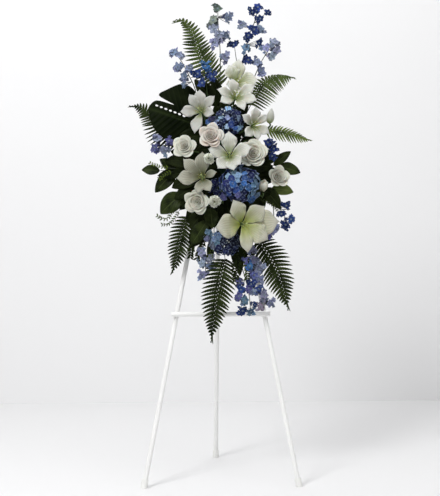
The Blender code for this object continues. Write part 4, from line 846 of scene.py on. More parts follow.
def template(name, petals, others):
    """A floret of radius 1 from its flat petals and its other parts, to be copied."""
    floret = joined(name, [thickened(name, petals, FLORET_THICKNESS)] + others)
    BLANKS.append(floret)
    return floret


def floret_at(kind, centre, facing, size, roll):
    """A copy of a floret, brought to its centre and turned to its direction."""
    return placed(kind, Matrix.Translation(centre) @ aimed(facing) @ Matrix.Rotation(roll, 4, "Z")
                  @ Matrix.Scale(size, 4))


def broad_petal(turn, long, wide, cup, round_point):
    """A broad petal of a floret of radius 1, cupped towards its tip."""
    def surface(over, along):
        width = wide * np.sin(pi * along ** round_point).clip(0.0) ** 0.62 + 0.05 * (1.0 - along)
        width = np.where(along > AT_TIP, 0.0, width)
        height = cup * along ** 2 + 0.16 * over ** 2 * width - 0.05 * np.exp(-(over / 0.3) ** 2) * along
        return turned(0.04 + (long - 0.04) * along, over * width, height, cos(turn), sin(turn))
    return surface


def hydrangea_floret():
    """Four broad round petals round a small bead."""
    petals = []
    for k, (long, wide, cup) in enumerate(((1.0, 0.52, 0.22), (0.90, 0.58, -0.08), (1.04, 0.50, 0.12),
                                           (0.94, 0.54, 0.30))):
        surface = broad_petal(pi / 2 * k + 0.06 * (k % 2), long, wide, cup, 0.62)
        petals.append(laid(FLORET_BLANK, surface, HYDRANGEA_FLORET))
    middle = bead(SMALL_BEAD_BLANK, (0.07, 0.07, 0.06), FLORET_EYE, up(0.03))
    return template("hydrangea_floret", petals, [middle])


def stray_florets(spot, depth, size, colour, chance):
    """Three florets beside the head and the stalk that carries them."""
    parts = []
    for extra in range(3):
        aside = spot + Vector(chance.uniform(-0.007, 0.007) for k in range(3))
        facing = (spot.normalized() * 0.4 + up(1.0)
                  + Vector(chance.uniform(-0.5, 0.5) for k in range(3))).normalized()
        floret = floret_at(HYDRANGEA_TEMPLATE, aside, facing, size * 0.9, chance.uniform(0.0, 2 * pi))
        parts.append(painted(floret, tinted(colour, chance, 0.40)))
    root = Vector((spot.x * 0.4, spot.y * 0.4, -depth * 0.3))
    parts.append(painted(rod([root, spot], 0.0010, 0.0008, STEM_GREEN, THIN_BLANK), STALK_TONE))
    return parts


def small_bud(spot):
    """A pale bud in front of the head, on a fine stalk."""
    bud = bead(BEAD_BLANK, (0.0022, 0.0022, 0.0030), FILLER_BUD, spot)
    stalk = rod([Vector((spot.x * 0.5, spot.y * 0.5, 0.0)), spot], 0.0005, 0.0005, STEM_GREEN, THIN_BLANK)
    return [painted(bud, (0.62, 0.65, 0.62)), painted(stalk, STALK_TONE)]


def hydrangea(name, head):
    """A dense dome of florets over a dark core, painted shade that shows in the gaps between them."""
    chance = random.Random(name)
    place = bloom_frame(head)
    into_head = place.inverted()
    half = Vector(head.half)
    # The core is painted shade: a dark navy bead that darkens the gaps between the florets
    parts = [painted(bead(BEAD_BLANK, half * 0.80, FLORET_SHADE), (0.02, 0.03, 0.06))]
    size = sqrt(4.0 * half.x * half.y / head.florets) * 0.98
    for index in range(head.florets):
        height = 1.0 - (index + 0.5) / head.florets * (1.0 - LOWEST_FLORET)
        around = index * pi * GOLDEN_SHARE + chance.uniform(-0.12, 0.12)
        flat = sqrt(1.0 - height * height)
        ray = Vector((flat * cos(around), flat * sin(around), height))
        deep = 1.0 - chance.uniform(0.0, 0.16)
        spot = Vector(ray[k] * half[k] * deep for k in range(3))
        facing = Vector(ray[k] / half[k] for k in range(3)).normalized()
        facing = (facing + Vector(chance.uniform(-0.50, 0.50) for k in range(3))).normalized()
        floret = floret_at(HYDRANGEA_TEMPLATE, spot, facing, size * chance.uniform(0.80, 1.15),
                           chance.uniform(0.0, 2 * pi))
        nearest = min(head.tones, key=lambda tone: (tone[0] - ray.x + chance.uniform(-0.15, 0.15)) ** 2
                      + (tone[1] - ray.y + chance.uniform(-0.15, 0.15)) ** 2)
        other = chance.random()
        tone = NAVY if other < NAVY_SHARE else PALE_BLUE if other > head.paler else nearest[2]
        parts.append(painted(floret, tinted(tone, chance, 0.50)))
    for *spot, colour in head.strays:
        parts.extend(stray_florets(into_head @ Vector(spot), half.z, size, colour, chance))
    for spot in head.buds:
        parts.extend(small_bud(into_head @ Vector(spot)))
    stem = bloom_stem(place, head.socket, half.z + 0.006, HYDRANGEA_STEM, -half.z * 0.6)
    parts.append(painted(stem, (0.06, 0.10, 0.03)))
    return finished(name, parts, place, "hydrangea_floret", name)


# Delphinium sprays: stem, side branches, and florets placed one by one with their size and tone

Spray = namedtuple("Spray", "socket stem branches florets")

DELPHINIUMS = {
    "delphinium_pale": Spray((-0.004, 0.115, -0.15), (
        (-0.004, -0.086, 1.300), (0.000, -0.082, 1.400), (0.000, -0.082, 1.470), (-0.006, -0.084, 1.540),
        (-0.008, -0.086, 1.600)), (), (
        (-0.009, -0.092, 1.609, 0.014, GREY_GREEN), (-0.024, -0.094, 1.570, 0.016, GREY_GREEN),
        (0.024, -0.090, 1.580, 0.015, LAVENDER), (-0.022, -0.096, 1.540, 0.016, PALE_LAVENDER),
        (0.018, -0.094, 1.521, 0.014, LAVENDER), (-0.006, -0.100, 1.518, 0.014, PALE_LAVENDER),
        (-0.018, -0.096, 1.495, 0.016, LAVENDER), (0.016, -0.098, 1.444, 0.014, PALE_LAVENDER))),
    "delphinium_blue": Spray((0.020, 0.115, 0.25), (
        (0.045, -0.050, 1.300), (0.068, -0.050, 1.400), (0.086, -0.060, 1.470), (0.100, -0.068, 1.530),
        (0.122, -0.072, 1.575), (0.126, -0.074, 1.622)), (
        ((0.068, -0.050, 1.405), (0.056, -0.060, 1.445), (0.050, -0.066, 1.485)),
        ((0.118, -0.070, 1.565), (0.142, -0.072, 1.585), (0.160, -0.074, 1.602))), (
        (0.128, -0.080, 1.618, 0.013, ROYAL), (0.110, -0.080, 1.600, 0.012, DEEP_BLUE),
        (0.136, -0.082, 1.578, 0.012, DEEP_BLUE), (0.163, -0.078, 1.600, 0.010, DEEP_BLUE),
        (0.076, -0.080, 1.556, 0.014, LAVENDER), (0.115, -0.084, 1.542, 0.014, ROYAL),
        (0.140, -0.080, 1.542, 0.012, LAVENDER), (0.096, -0.084, 1.522, 0.013, DEEP_BLUE),
        (0.046, -0.074, 1.490, 0.013, DEEP_BLUE), (0.087, -0.078, 1.480, 0.013, TEAL_GREY),
        (0.132, -0.080, 1.496, 0.012, DEEP_BLUE), (0.096, -0.072, 1.440, 0.014, ROYAL))),
    "delphinium_lavender_right": Spray((0.048, 0.115, 0.20), (
        (0.078, -0.046, 1.280), (0.110, -0.036, 1.360), (0.130, -0.056, 1.410), (0.150, -0.074, 1.450),
        (0.172, -0.080, 1.480)), (), (
        (0.184, -0.088, 1.500, 0.014, PALE_LAVENDER), (0.193, -0.088, 1.473, 0.014, PALE_LAVENDER),
        (0.176, -0.090, 1.450, 0.014, PALE_LAVENDER), (0.156, -0.088, 1.478, 0.013, LAVENDER),
        (0.128, -0.074, 1.432, 0.014, LAVENDER), (0.140, -0.078, 1.404, 0.014, LAVENDER))),
    "delphinium_lavender_left": Spray((-0.052, 0.115, 0.00), (
        (-0.078, -0.094, 1.290), (-0.086, -0.100, 1.341), (-0.098, -0.102, 1.366), (-0.124, -0.098, 1.419),
        (-0.146, -0.096, 1.452)), (), (
        (-0.158, -0.104, 1.460, 0.013, LAVENDER), (-0.140, -0.106, 1.452, 0.012, PALE_LAVENDER),
        (-0.144, -0.106, 1.412, 0.014, LAVENDER), (-0.122, -0.108, 1.382, 0.013, LAVENDER),
        (-0.108, -0.108, 1.406, 0.012, LAVENDER), (-0.124, -0.104, 1.356, 0.009, LAVENDER))),
    "delphinium_royal": Spray((-0.042, 0.115, -0.55), (
        (-0.044, -0.122, 1.290), (-0.048, -0.120, 1.350), (-0.054, -0.114, 1.400)), (), (
        (-0.052, -0.122, 1.412, 0.014, BRIGHT_ROYAL), (-0.076, -0.122, 1.388, 0.015, DEEP_BLUE),
        (-0.032, -0.124, 1.378, 0.015, ROYAL), (-0.062, -0.130, 1.356, 0.013, ROYAL))),
    "delphinium_mid_left": Spray((-0.067, 0.045, -0.40), (
        (-0.110, -0.112, 1.146), (-0.160, -0.110, 1.146), (-0.205, -0.106, 1.148)), (), (
        (-0.214, -0.112, 1.168, 0.014, LAVENDER), (-0.222, -0.112, 1.140, 0.014, VIOLET),
        (-0.192, -0.118, 1.132, 0.014, LAVENDER), (-0.174, -0.118, 1.162, 0.013, VIOLET))),
    "delphinium_mid_right": Spray((0.067, 0.050, -0.30), (
        (0.110, -0.112, 1.130), (0.150, -0.122, 1.140)), (), (
        (0.158, -0.134, 1.156, 0.014, ROYAL), (0.178, -0.130, 1.136, 0.014, DEEP_BLUE),
        (0.172, -0.134, 1.112, 0.013, ROYAL))),
    "delphinium_low_left": Spray((-0.045, -0.115, -0.40), (
        (-0.056, -0.110, 0.900), (-0.064, -0.124, 0.840), (-0.054, -0.142, 0.775),
        (-0.052, -0.148, 0.720)), (), (
        (-0.066, -0.150, 0.786, 0.014, LAVENDER), (-0.036, -0.150, 0.768, 0.014, PALE_LAVENDER),
        (-0.064, -0.154, 0.750, 0.014, LAVENDER), (-0.036, -0.154, 0.738, 0.014, LAVENDER),
        (-0.060, -0.156, 0.714, 0.014, LAVENDER))),
    "delphinium_low_right": Spray((0.040, -0.115, -0.45), (
        (0.050, -0.115, 0.900), (0.075, -0.125, 0.840), (0.095, -0.142, 0.790), (0.110, -0.150, 0.740),
        (0.122, -0.152, 0.704)), (), (
        (0.104, -0.156, 0.797, 0.013, LAVENDER), (0.082, -0.150, 0.758, 0.013, VIOLET),
        (0.112, -0.162, 0.762, 0.013, LAVENDER),
        (0.098, -0.158, 0.742, 0.012, STEEL_BLUE), (0.126, -0.160, 0.730, 0.015, LAVENDER),
        (0.112, -0.162, 0.712, 0.013, VIOLET), (0.126, -0.162, 0.698, 0.014, LAVENDER))),
    "delphinium_bottom": Spray((0.022, -0.115, -0.68), (
        (0.034, -0.106, 0.880), (0.056, -0.112, 0.800), (0.076, -0.140, 0.720), (0.092, -0.158, 0.660),
        (0.098, -0.164, 0.600)), (
        ((0.082, -0.146, 0.700), (0.066, -0.156, 0.650), (0.070, -0.162, 0.600)),
        ((0.090, -0.156, 0.668), (0.130, -0.162, 0.645), (0.154, -0.164, 0.622))), (
        (0.062, -0.156, 0.684, 0.013, VIOLET), (0.100, -0.166, 0.680, 0.013, DEEP_BLUE),
        (0.060, -0.164, 0.640, 0.014, VIOLET), (0.080, -0.170, 0.626, 0.014, TEAL_GREY),
        (0.144, -0.172, 0.645, 0.014, LAVENDER), (0.164, -0.170, 0.618, 0.014, LAVENDER),
        (0.132, -0.172, 0.606, 0.013, MAUVE), (0.072, -0.170, 0.592, 0.013, DEEP_BLUE),
        (0.100, -0.172, 0.590, 0.011, TEAL_GREY), (0.108, -0.168, 0.655, 0.012, LAVENDER),
        (0.126, -0.168, 0.664, 0.012, ROYAL), (0.092, -0.170, 0.668, 0.011, VIOLET),
        (0.140, -0.170, 0.628, 0.011, PALE_LAVENDER), (0.112, -0.170, 0.612, 0.010, DEEP_BLUE),
        (0.066, -0.168, 0.662, 0.012, ROYAL))),
    "delphinium_right": Spray((0.067, -0.090, -0.30), (
        (0.110, -0.086, 0.975), (0.160, -0.090, 0.955), (0.205, -0.100, 0.930), (0.222, -0.106, 0.900)), (
        ((0.180, -0.095, 0.946), (0.182, -0.108, 0.900), (0.178, -0.118, 0.868)),), (
        (0.222, -0.124, 0.944, 0.013, DEEP_BLUE), (0.206, -0.126, 0.916, 0.012, DEEP_BLUE),
        (0.238, -0.124, 0.898, 0.013, ROYAL), (0.220, -0.126, 0.880, 0.013, DEEP_BLUE),
        (0.176, -0.130, 0.858, 0.014, LAVENDER), (0.160, -0.128, 0.842, 0.013, VIOLET),
        (0.186, -0.128, 0.874, 0.012, LAVENDER))),
}
DELPHINIUM_STEM = 0.0023
SPUR_LENGTH = 0.75
# How many smaller florets surround each one in the tables
NEIGHBOURS = 5


def delphinium_floret():
    """Five petals round a tuft of small pale ones, with a spur behind."""
    petals = []
    others = []
    for k, (long, cup) in enumerate(((1.10, 0.10), (0.92, 0.30), (1.04, -0.10), (0.86, 0.20), (1.00, 0.40))):
        surface = broad_petal(2 * pi / 5 * k, long, 0.36, cup, 0.80)
        petals.append(laid(FLORET_BLANK, surface, DELPHINIUM_FLORET))
        lean = Matrix.Rotation(2 * pi / 5 * (k + 0.5), 4, "Z") @ Matrix.Rotation(0.5, 4, "Y")
        tuft = lean @ Matrix.Translation(up(0.13)) @ Matrix.Diagonal((0.07, 0.10, 0.15, 1.0))
        others.append(placed(SMALL_BEAD_BLANK, tuft, FLORET_EYE))
    spur = [up(0.02), Vector((0.0, 0.10, -0.35)), Vector((0.0, 0.30, -SPUR_LENGTH))]
    others.append(rod(smooth_path(spur, 4), 0.15, 0.04, DELPHINIUM_FLORET, THIN_BLANK))
    return template("delphinium_floret", petals, others)


def pedicel(root, centre, facing, size):
    """The thin curved stalk from the stem to the back of a floret."""
    back = centre - facing * size * 0.30
    bow = root.lerp(back, 0.55) - facing * size * 0.25
    stalk = rod(smooth_path([root, bow, back], 4), 0.0008, 0.0007, TWIG_DARK, THIN_BLANK)
    return painted(stalk, (0.05, 0.07, 0.03))


def delphinium(name, spray):
    chance = random.Random(name)
    spot = foam_spot(*spray.socket)
    places = [Vector(point) for point in spray.stem]
    stem = smooth_path([rooted(spot, places[0]), spot] + places, 5)
    runs = [stem] + [path_of(branch, 5) for branch in spray.branches]
    parts = []
    for k, run in enumerate(runs):
        radius = DELPHINIUM_STEM * (1.0 if k == 0 else 0.7)
        parts.append(painted(rod(run, radius, radius * 0.5, SPRAY_GREEN), STALK_TONE))
    joints = [point for run in runs for point in evenly(run, 24)[1:]]
    for index, (*place, size, colour) in enumerate(spray.florets):
        centre = Vector(place)
        root = min(joints, key=lambda point: (point - centre).length + 0.2 * abs(point.z - centre.z + 0.006))
        facing = ((centre - root).normalized() * 0.6 + Vector((0.0, -0.6, 0.05))).normalized()
        floret = floret_at(DELPHINIUM_TEMPLATE, centre, facing, size * 1.18, index * 0.9)
        parts.append(painted(floret, tinted(colour, chance, 0.35)))
        parts.append(pedicel(root, centre, facing, size))
        for extra in range(NEIGHBOURS):
            aside = Vector((chance.uniform(-1.0, 1.0), chance.uniform(0.0, 0.6), chance.uniform(-1.0, 1.0)))
            beside = centre + aside.normalized() * size * chance.uniform(0.70, 1.35)
            swerve = Vector((chance.uniform(-0.9, 0.9), 0.0, chance.uniform(-0.9, 0.9)))
            looks = (facing + swerve).normalized()
            small = size * chance.uniform(0.55, 0.90)
            floret = floret_at(DELPHINIUM_TEMPLATE, beside, looks, small, chance.uniform(0.0, 6.0))
            parts.append(painted(floret, tinted(colour, chance, 0.45)))
            parts.append(pedicel(root, beside, looks, small))
    return finished(name, parts, IN_PLACE, "delphinium_floret", name)


# Fern fronds: a bare stalk, then a rib with a leaflet each side of every step

Frond = namedtuple("Frond", "socket stalk rib pairs longest facing droop")

FRONDS = {
    "fern_top_left": Frond((-0.022, 0.115, 0.25), ((0.004, -0.058, 1.300),), (
        (0.004, -0.052, 1.352), (-0.014, -0.052, 1.378), (-0.038, -0.052, 1.407), (-0.058, -0.052, 1.438),
        (-0.074, -0.050, 1.476), (-0.088, -0.048, 1.518), (-0.106, -0.046, 1.556), (-0.130, -0.044, 1.576),
        (-0.148, -0.044, 1.577), (-0.160, -0.044, 1.570)), 26, 0.054, (0.1, -1.0, 0.1), 0.15),
    "fern_left": Frond((-0.067, 0.078, 0.25), ((-0.110, -0.068, 1.160),), (
        (-0.150, -0.058, 1.158), (-0.178, -0.054, 1.174), (-0.208, -0.052, 1.206), (-0.224, -0.050, 1.236),
        (-0.246, -0.048, 1.264), (-0.278, -0.046, 1.281), (-0.310, -0.046, 1.283)), 23, 0.048,
        (0.1, -1.0, 0.2), 0.20),
    "fern_top_right": Frond((0.060, 0.115, -0.25), ((0.086, -0.084, 1.250),), (
        (0.104, -0.078, 1.285), (0.122, -0.076, 1.328), (0.146, -0.074, 1.362), (0.182, -0.070, 1.380),
        (0.222, -0.068, 1.385), (0.257, -0.066, 1.380)), 22, 0.056, (-0.15, -0.75, 0.60), 0.50),
    "fern_right": Frond((0.067, 0.095, 0.20), ((0.115, -0.078, 1.192),), (
        (0.150, -0.075, 1.200), (0.200, -0.072, 1.196), (0.248, -0.070, 1.186), (0.286, -0.066, 1.174),
        (0.314, -0.062, 1.166)), 17, 0.048, (0.10, -0.55, 0.80), 0.10),
    "fern_low_left": Frond((-0.058, -0.115, 0.00), ((-0.096, -0.106, 0.930),), (
        (-0.112, -0.116, 0.908), (-0.126, -0.128, 0.874), (-0.136, -0.134, 0.840), (-0.143, -0.137, 0.806),
        (-0.149, -0.139, 0.768), (-0.157, -0.140, 0.738), (-0.167, -0.140, 0.714)), 18, 0.039,
        (0.1, -1.0, 0.0), 0.10),
    "fern_low_middle": Frond((0.008, -0.115, -0.10), ((0.010, -0.104, 0.880), (0.012, -0.114, 0.800)), (
        (0.014, -0.136, 0.764), (0.004, -0.163, 0.732), (-0.006, -0.178, 0.690), (-0.015, -0.182, 0.647),
        (-0.021, -0.181, 0.600), (-0.026, -0.178, 0.557), (-0.032, -0.174, 0.518), (-0.034, -0.172, 0.484)),
        23, 0.053, (0.0, -1.0, 0.0), 0.05),
    "fern_low_right": Frond((0.058, -0.115, 0.00), ((0.092, -0.106, 0.880),), (
        (0.125, -0.115, 0.830), (0.148, -0.121, 0.798), (0.170, -0.125, 0.764), (0.188, -0.127, 0.730),
        (0.203, -0.126, 0.690), (0.216, -0.124, 0.648), (0.224, -0.122, 0.614), (0.231, -0.120, 0.587)),
        21, 0.058, (0.0, -1.0, 0.1), 0.10),
}
FROND_STALK = 0.0012
FROND_FINISHES = {"fern_right": FERN_BRIGHT, "fern_top_left": FERN_OLIVE, "fern_top_right": FERN_OLIVE}
# The share of the rib that has leaflets; the rest is the frond's narrow tail
LEAFY_SHARE = 0.90


def leaflet_reach(share, longest):
    """A leaflet's length: a little shorter near the stalk, then tapering to the frond's tail."""
    taper = max(0.0, 1.0 - (share / LEAFY_SHARE) ** 2.6)
    return 1.12 * longest * min(1.0, 0.70 + 1.4 * share) * taper + 0.0045


def fern_leaflet(root, axis, outward, normal, reach, half_width, droop, chance):
    """A lance-shaped leaflet, eared at its root, folded along its vein and curved towards the frond's tip."""
    side = normal.cross(outward).normalized()
    if side.dot(axis) < 0.0:
        side.negate()
    curve = chance.uniform(0.09, 0.15)
    sag = droop + chance.uniform(-0.02, 0.03)
    twist = chance.uniform(-0.15, 0.15)

    def surface(over, along):
        width = half_width * (along / 0.05).clip(0.0, 1.0) ** 0.3 * (1.0 - along ** 2.4) ** 0.80
        width = width * (1.0 + 0.10 * np.cos(pi * 14.0 * along)) * (1.0 + 0.28 * np.exp(-(along / 0.14) ** 2))
        width = np.where((along < AT_BASE) | (along > AT_TIP), 0.0, width)
        forward = over * width + curve * reach * along ** 2
        lift = 0.30 * np.abs(over) * width + twist * over * width
        line = root + np.outer(along * reach, outward) + np.outer(forward, side) + np.outer(lift, normal)
        line[:, 2] -= sag * reach * along ** 1.5
        return line
    return surface


def fern_frond(name, frond):
    chance = random.Random(name)
    finish = FROND_FINISHES.get(name, FERN)
    spot = foam_spot(*frond.socket)
    stalk = [Vector(point) for point in frond.stalk]
    pairs = frond.pairs
    ribs = evenly(path_of(frond.rib, 6), pairs)
    facing = Vector(frond.facing).normalized()
    spacing = (ribs[1] - ribs[0]).length
    leaflets = []
    for k in range(pairs):
        axis = (ribs[min(k + 1, pairs)] - ribs[max(k - 1, 0)]).normalized()
        normal = across(axis, facing)
        side = axis.cross(normal)
        share = k / pairs
        for word in (1, -1):
            outward = (side * word + axis * (0.14 + 0.36 * share + chance.uniform(-0.03, 0.03))).normalized()
            reach = leaflet_reach(share, frond.longest) * chance.uniform(0.94, 1.04)
            root = ribs[k].lerp(ribs[k + 1], 0.5 + 0.20 * word)
            half_width = min(spacing * 0.45, 0.30 * reach + 0.001)
            surface = fern_leaflet(np.array(root), axis, outward, normal, reach, half_width, frond.droop,
                                   chance)
            leaflets.append(laid(LEAFLET_BLANK, surface, finish))
    tip_axis = (ribs[-1] - ribs[-2]).normalized()
    tip_normal = across(tip_axis, facing)
    tail_start = ribs[int(pairs * LEAFY_SHARE)]
    tail = ribs[-1] - tail_start
    surface = fern_leaflet(np.array(tail_start), tip_axis, tail.normalized(), tip_normal, tail.length + 0.006,
                           spacing * 0.26, 0.0, chance)
    leaflets.append(laid(LEAFLET_BLANK, surface, finish))
    parts = [thickened(name, leaflets, FINE_THICKNESS)]
    parts.append(rod([rooted(spot, stalk[0]), spot] + stalk + [ribs[0]], FROND_STALK, FROND_STALK, TWIG_DARK))
    parts.append(rod(ribs, 0.0024, 0.0012, finish, LONG_ROD_BLANK))
    return finished(name, parts, IN_PLACE, "fern_leaf", name)


# Leafy stems of lemon leaf: a stem, and leaves from a point on it to their tips

Branch = namedtuple("Branch", "socket stem leaves")

LEAFY_STEMS = {
    "salal_left": Branch((-0.067, 0.010, 0.20), (
        (-0.110, -0.090, 1.070), (-0.160, -0.088, 1.066), (-0.205, -0.084, 1.062)), (
        ((-0.205, -0.084, 1.062), (-0.268, -0.075, 1.066), 0.018),
        ((-0.150, -0.089, 1.067), (-0.206, -0.084, 1.102), 0.020),
        ((-0.150, -0.089, 1.067), (-0.222, -0.080, 0.988), 0.026))),
    "salal_low_left": Branch((-0.067, -0.070, -0.10), (
        (-0.098, -0.108, 1.000), (-0.130, -0.112, 0.986)), (
        ((-0.130, -0.112, 0.986), (-0.204, -0.104, 0.916), 0.034),
        ((-0.104, -0.109, 0.997), (-0.140, -0.122, 0.934), 0.022))),
    "salal_right": Branch((0.067, 0.012, 0.10), (
        (0.120, -0.090, 1.084), (0.170, -0.088, 1.082), (0.197, -0.086, 1.078)), (
        ((0.197, -0.086, 1.078), (0.276, -0.078, 1.056), 0.022),
        ((0.182, -0.087, 1.081), (0.242, -0.082, 1.130), 0.016),
        ((0.140, -0.089, 1.083), (0.202, -0.092, 1.116), 0.015))),
    "salal_low_right": Branch((0.067, -0.070, 0.00), (
        (0.110, -0.095, 1.005), (0.175, -0.098, 1.006)), (
        ((0.175, -0.098, 1.004), (0.250, -0.100, 0.990), 0.021, SALAL_BRIGHT),
        ((0.147, -0.097, 1.006), (0.206, -0.112, 0.932), 0.024),
        ((0.120, -0.096, 1.005), (0.150, -0.112, 0.936), 0.020))),
    "salal_low_middle": Branch((-0.026, -0.104), (
        (-0.036, -0.158, 0.935), (-0.046, -0.156, 0.895)), (
        ((-0.036, -0.158, 0.936), (-0.030, -0.176, 0.868), 0.024),
        ((-0.046, -0.156, 0.895), (-0.100, -0.146, 0.812), 0.026))),
}
LEAF_STEM = 0.0016


def lemon_leaf(base, tip, half_width, facing, chance, arch=0.06):
    """An oval leaf with a drawn-out tip, folded along its rib, arched and a little waved."""
    run = tip - base
    length = run.length
    axis = run / length
    normal = across(axis, facing)
    side = axis.cross(normal)
    phase = chance.uniform(0.0, 2 * pi)
    curl = chance.uniform(0.0, 0.10)

    def surface(over, along):
        width = half_width * np.sin(pi * along ** 0.85).clip(0.0) ** 0.8
        width = np.where((along < AT_BASE) | (along > AT_TIP), 0.0, width)
        wave = 0.10 * width * np.abs(over) ** 2 * np.sin(2 * pi * 1.8 * along + phase + np.sign(over) * 1.2)
        lift = arch * length * 4.0 * along * (1.0 - along) + 0.22 * np.abs(over) * width + wave
        lift = lift - curl * length * (along - 0.7).clip(0.0) ** 2 * 8.0
        ribs = 0.0006 * np.abs(np.sin(pi * 7.0 * (along - 0.35 * np.abs(over)))) * (1.0 - np.abs(over))
        return (np.array(base) + np.outer(along, run) + np.outer(over * width, side)
                + np.outer(lift - ribs, normal))
    return surface


def leafy_stem(name, branch):
    chance = random.Random(name)
    spot = foam_spot(*branch.socket)
    places = [Vector(point) for point in branch.stem]
    stem = smooth_path([rooted(spot, places[0]), spot] + places, 5)
    leaves = []
    for base, tip, half_width, *finish in branch.leaves:
        surface = lemon_leaf(Vector(base), Vector(tip), half_width, Vector((0.0, -1.0, 0.25)), chance)
        leaves.append(laid(LEAF_BLANK, surface, finish[0] if finish else SALAL))
    parts = [thickened(name, leaves, LEAF_THICKNESS), rod(stem, LEAF_STEM, LEAF_STEM * 0.6, TWIG_DARK)]
    return finished(name, parts, IN_PLACE, "salal_leaf", name)


# Lemon leaves set close round the foam behind the flowers: each one's base, tip and half width
COVER_LEAVES = (
    ((-0.060, -0.106, 1.185), (-0.150, -0.098, 1.160), 0.030),
    ((-0.058, -0.124, 1.160), (-0.112, -0.128, 1.096), 0.026),
    ((-0.070, -0.118, 1.110), (-0.170, -0.100, 1.128), 0.026),
    ((-0.070, -0.118, 1.092), (-0.192, -0.102, 1.096), 0.026),
    ((-0.068, -0.122, 1.072), (-0.172, -0.108, 1.046), 0.028),
    ((-0.064, -0.126, 1.052), (-0.166, -0.114, 1.004), 0.030),
    ((-0.060, -0.128, 1.022), (-0.158, -0.118, 0.966), 0.028),
    ((-0.062, -0.130, 1.000), (-0.140, -0.122, 0.930), 0.026),
    ((-0.054, -0.128, 0.978), (-0.118, -0.130, 0.890), 0.026),
    ((-0.030, -0.136, 0.968), (-0.072, -0.142, 0.872), 0.026),
    ((-0.006, -0.140, 0.966), (-0.022, -0.146, 0.868), 0.024),
    ((0.018, -0.138, 0.966), (0.040, -0.140, 0.872), 0.026),
    ((0.040, -0.134, 0.966), (0.096, -0.128, 0.888), 0.028),
    ((0.056, -0.126, 0.985), (0.150, -0.114, 0.930), 0.028),
    ((0.064, -0.122, 1.010), (0.176, -0.108, 0.984), 0.028),
    ((0.068, -0.120, 1.040), (0.186, -0.104, 1.030), 0.028),
    ((0.068, -0.118, 1.070), (0.180, -0.102, 1.078), 0.026),
    ((0.070, -0.114, 1.100), (0.160, -0.100, 1.136), 0.026),
    ((0.066, -0.110, 1.140), (0.128, -0.098, 1.176), 0.024),
    ((0.050, -0.104, 1.190), (0.100, -0.094, 1.244), 0.024),
    ((0.026, -0.100, 1.200), (0.052, -0.092, 1.290), 0.026),
    ((-0.004, -0.100, 1.200), (-0.010, -0.094, 1.296), 0.028),
    ((-0.034, -0.102, 1.196), (-0.066, -0.094, 1.288), 0.026),
    ((-0.008, -0.098, 1.280), (-0.088, -0.090, 1.372), 0.028),
    ((0.004, -0.096, 1.286), (-0.028, -0.088, 1.384), 0.020),
    ((-0.036, -0.128, 0.900), (-0.104, -0.134, 0.802), 0.034),
    ((0.000, -0.142, 1.180), (-0.060, -0.146, 1.206), 0.024),
    ((0.006, -0.142, 1.180), (0.070, -0.144, 1.170), 0.026),
    ((0.002, -0.148, 1.140), (-0.074, -0.150, 1.130), 0.028),
    ((0.004, -0.148, 1.130), (0.078, -0.146, 1.120), 0.028),
    ((0.000, -0.154, 1.096), (-0.074, -0.152, 1.080), 0.028),
    ((0.004, -0.154, 1.090), (0.076, -0.150, 1.072), 0.028),
    ((0.000, -0.160, 1.052), (-0.076, -0.156, 1.028), 0.028),
    ((0.004, -0.160, 1.046), (0.078, -0.156, 1.020), 0.028),
    ((0.000, -0.166, 1.010), (-0.066, -0.160, 0.976), 0.028),
    ((0.004, -0.166, 1.004), (0.064, -0.160, 0.968), 0.028),
    ((0.050, -0.112, 1.205), (0.126, -0.104, 1.176), 0.026),
    ((0.062, -0.118, 1.150), (0.124, -0.110, 1.086), 0.028),
    ((0.060, -0.118, 1.130), (0.144, -0.104, 1.108), 0.028),
    ((0.090, -0.112, 1.062), (0.196, -0.098, 1.062), 0.024),
    ((0.080, -0.112, 1.090), (0.178, -0.098, 1.116), 0.022),
    ((-0.050, -0.112, 1.230), (-0.110, -0.102, 1.196), 0.026),
    ((0.010, -0.098, 1.230), (0.026, -0.090, 1.332), 0.022),
    ((0.060, -0.100, 1.236), (0.090, -0.092, 1.306), 0.022),
    ((0.044, -0.132, 0.920), (0.062, -0.130, 0.822), 0.026),
    ((0.060, -0.126, 0.930), (0.112, -0.124, 0.836), 0.024),
    ((-0.130, -0.098, 1.052), (-0.214, -0.092, 1.046), 0.018),
    ((-0.118, -0.100, 1.082), (-0.186, -0.094, 1.074), 0.018),
    ((-0.050, -0.130, 0.930), (-0.106, -0.136, 0.866), 0.024),
    ((0.050, -0.126, 0.826), (0.046, -0.142, 0.744), 0.017),
    ((0.056, -0.128, 0.800), (0.064, -0.146, 0.706), 0.016),
    ((0.066, -0.130, 0.830), (0.084, -0.142, 0.758), 0.016),
    ((-0.022, -0.130, 0.834), (-0.044, -0.142, 0.768), 0.016))


def foam_anchor(point):
    """A place a little inside the foam's surface, next to a point outside it."""
    inside = FOAM_FRAME.inverted() @ point
    for k in range(3):
        limit = FOAM_HALF[k] - 0.010
        inside[k] = min(limit, max(-limit, inside[k]))
    return FOAM_FRAME @ inside


def cover_leaves():
    """Dark leaves that hide the foam, each on a short stalk pushed into it."""
    chance = random.Random("cover leaves")
    leaves = []
    stalks = []
    for base, tip, half_width in COVER_LEAVES:
        base, tip = Vector(base), Vector(tip)
        facing = Vector((chance.uniform(-0.35, 0.35), -1.0, chance.uniform(-0.1, 0.5)))
        leaves.append(laid(LEAF_BLANK, lemon_leaf(base, tip, half_width, facing, chance), SALAL_DARK))
        line = [foam_anchor(base), base, base.lerp(tip, 0.15)]
        stalks.append(rod(line, 0.0014, 0.0009, TWIG_DARK, THIN_BLANK))
    parts = [thickened("cover_leaves", leaves, LEAF_THICKNESS)] + stalks
    return finished("cover_leaves", parts, IN_PLACE, "salal_leaf")


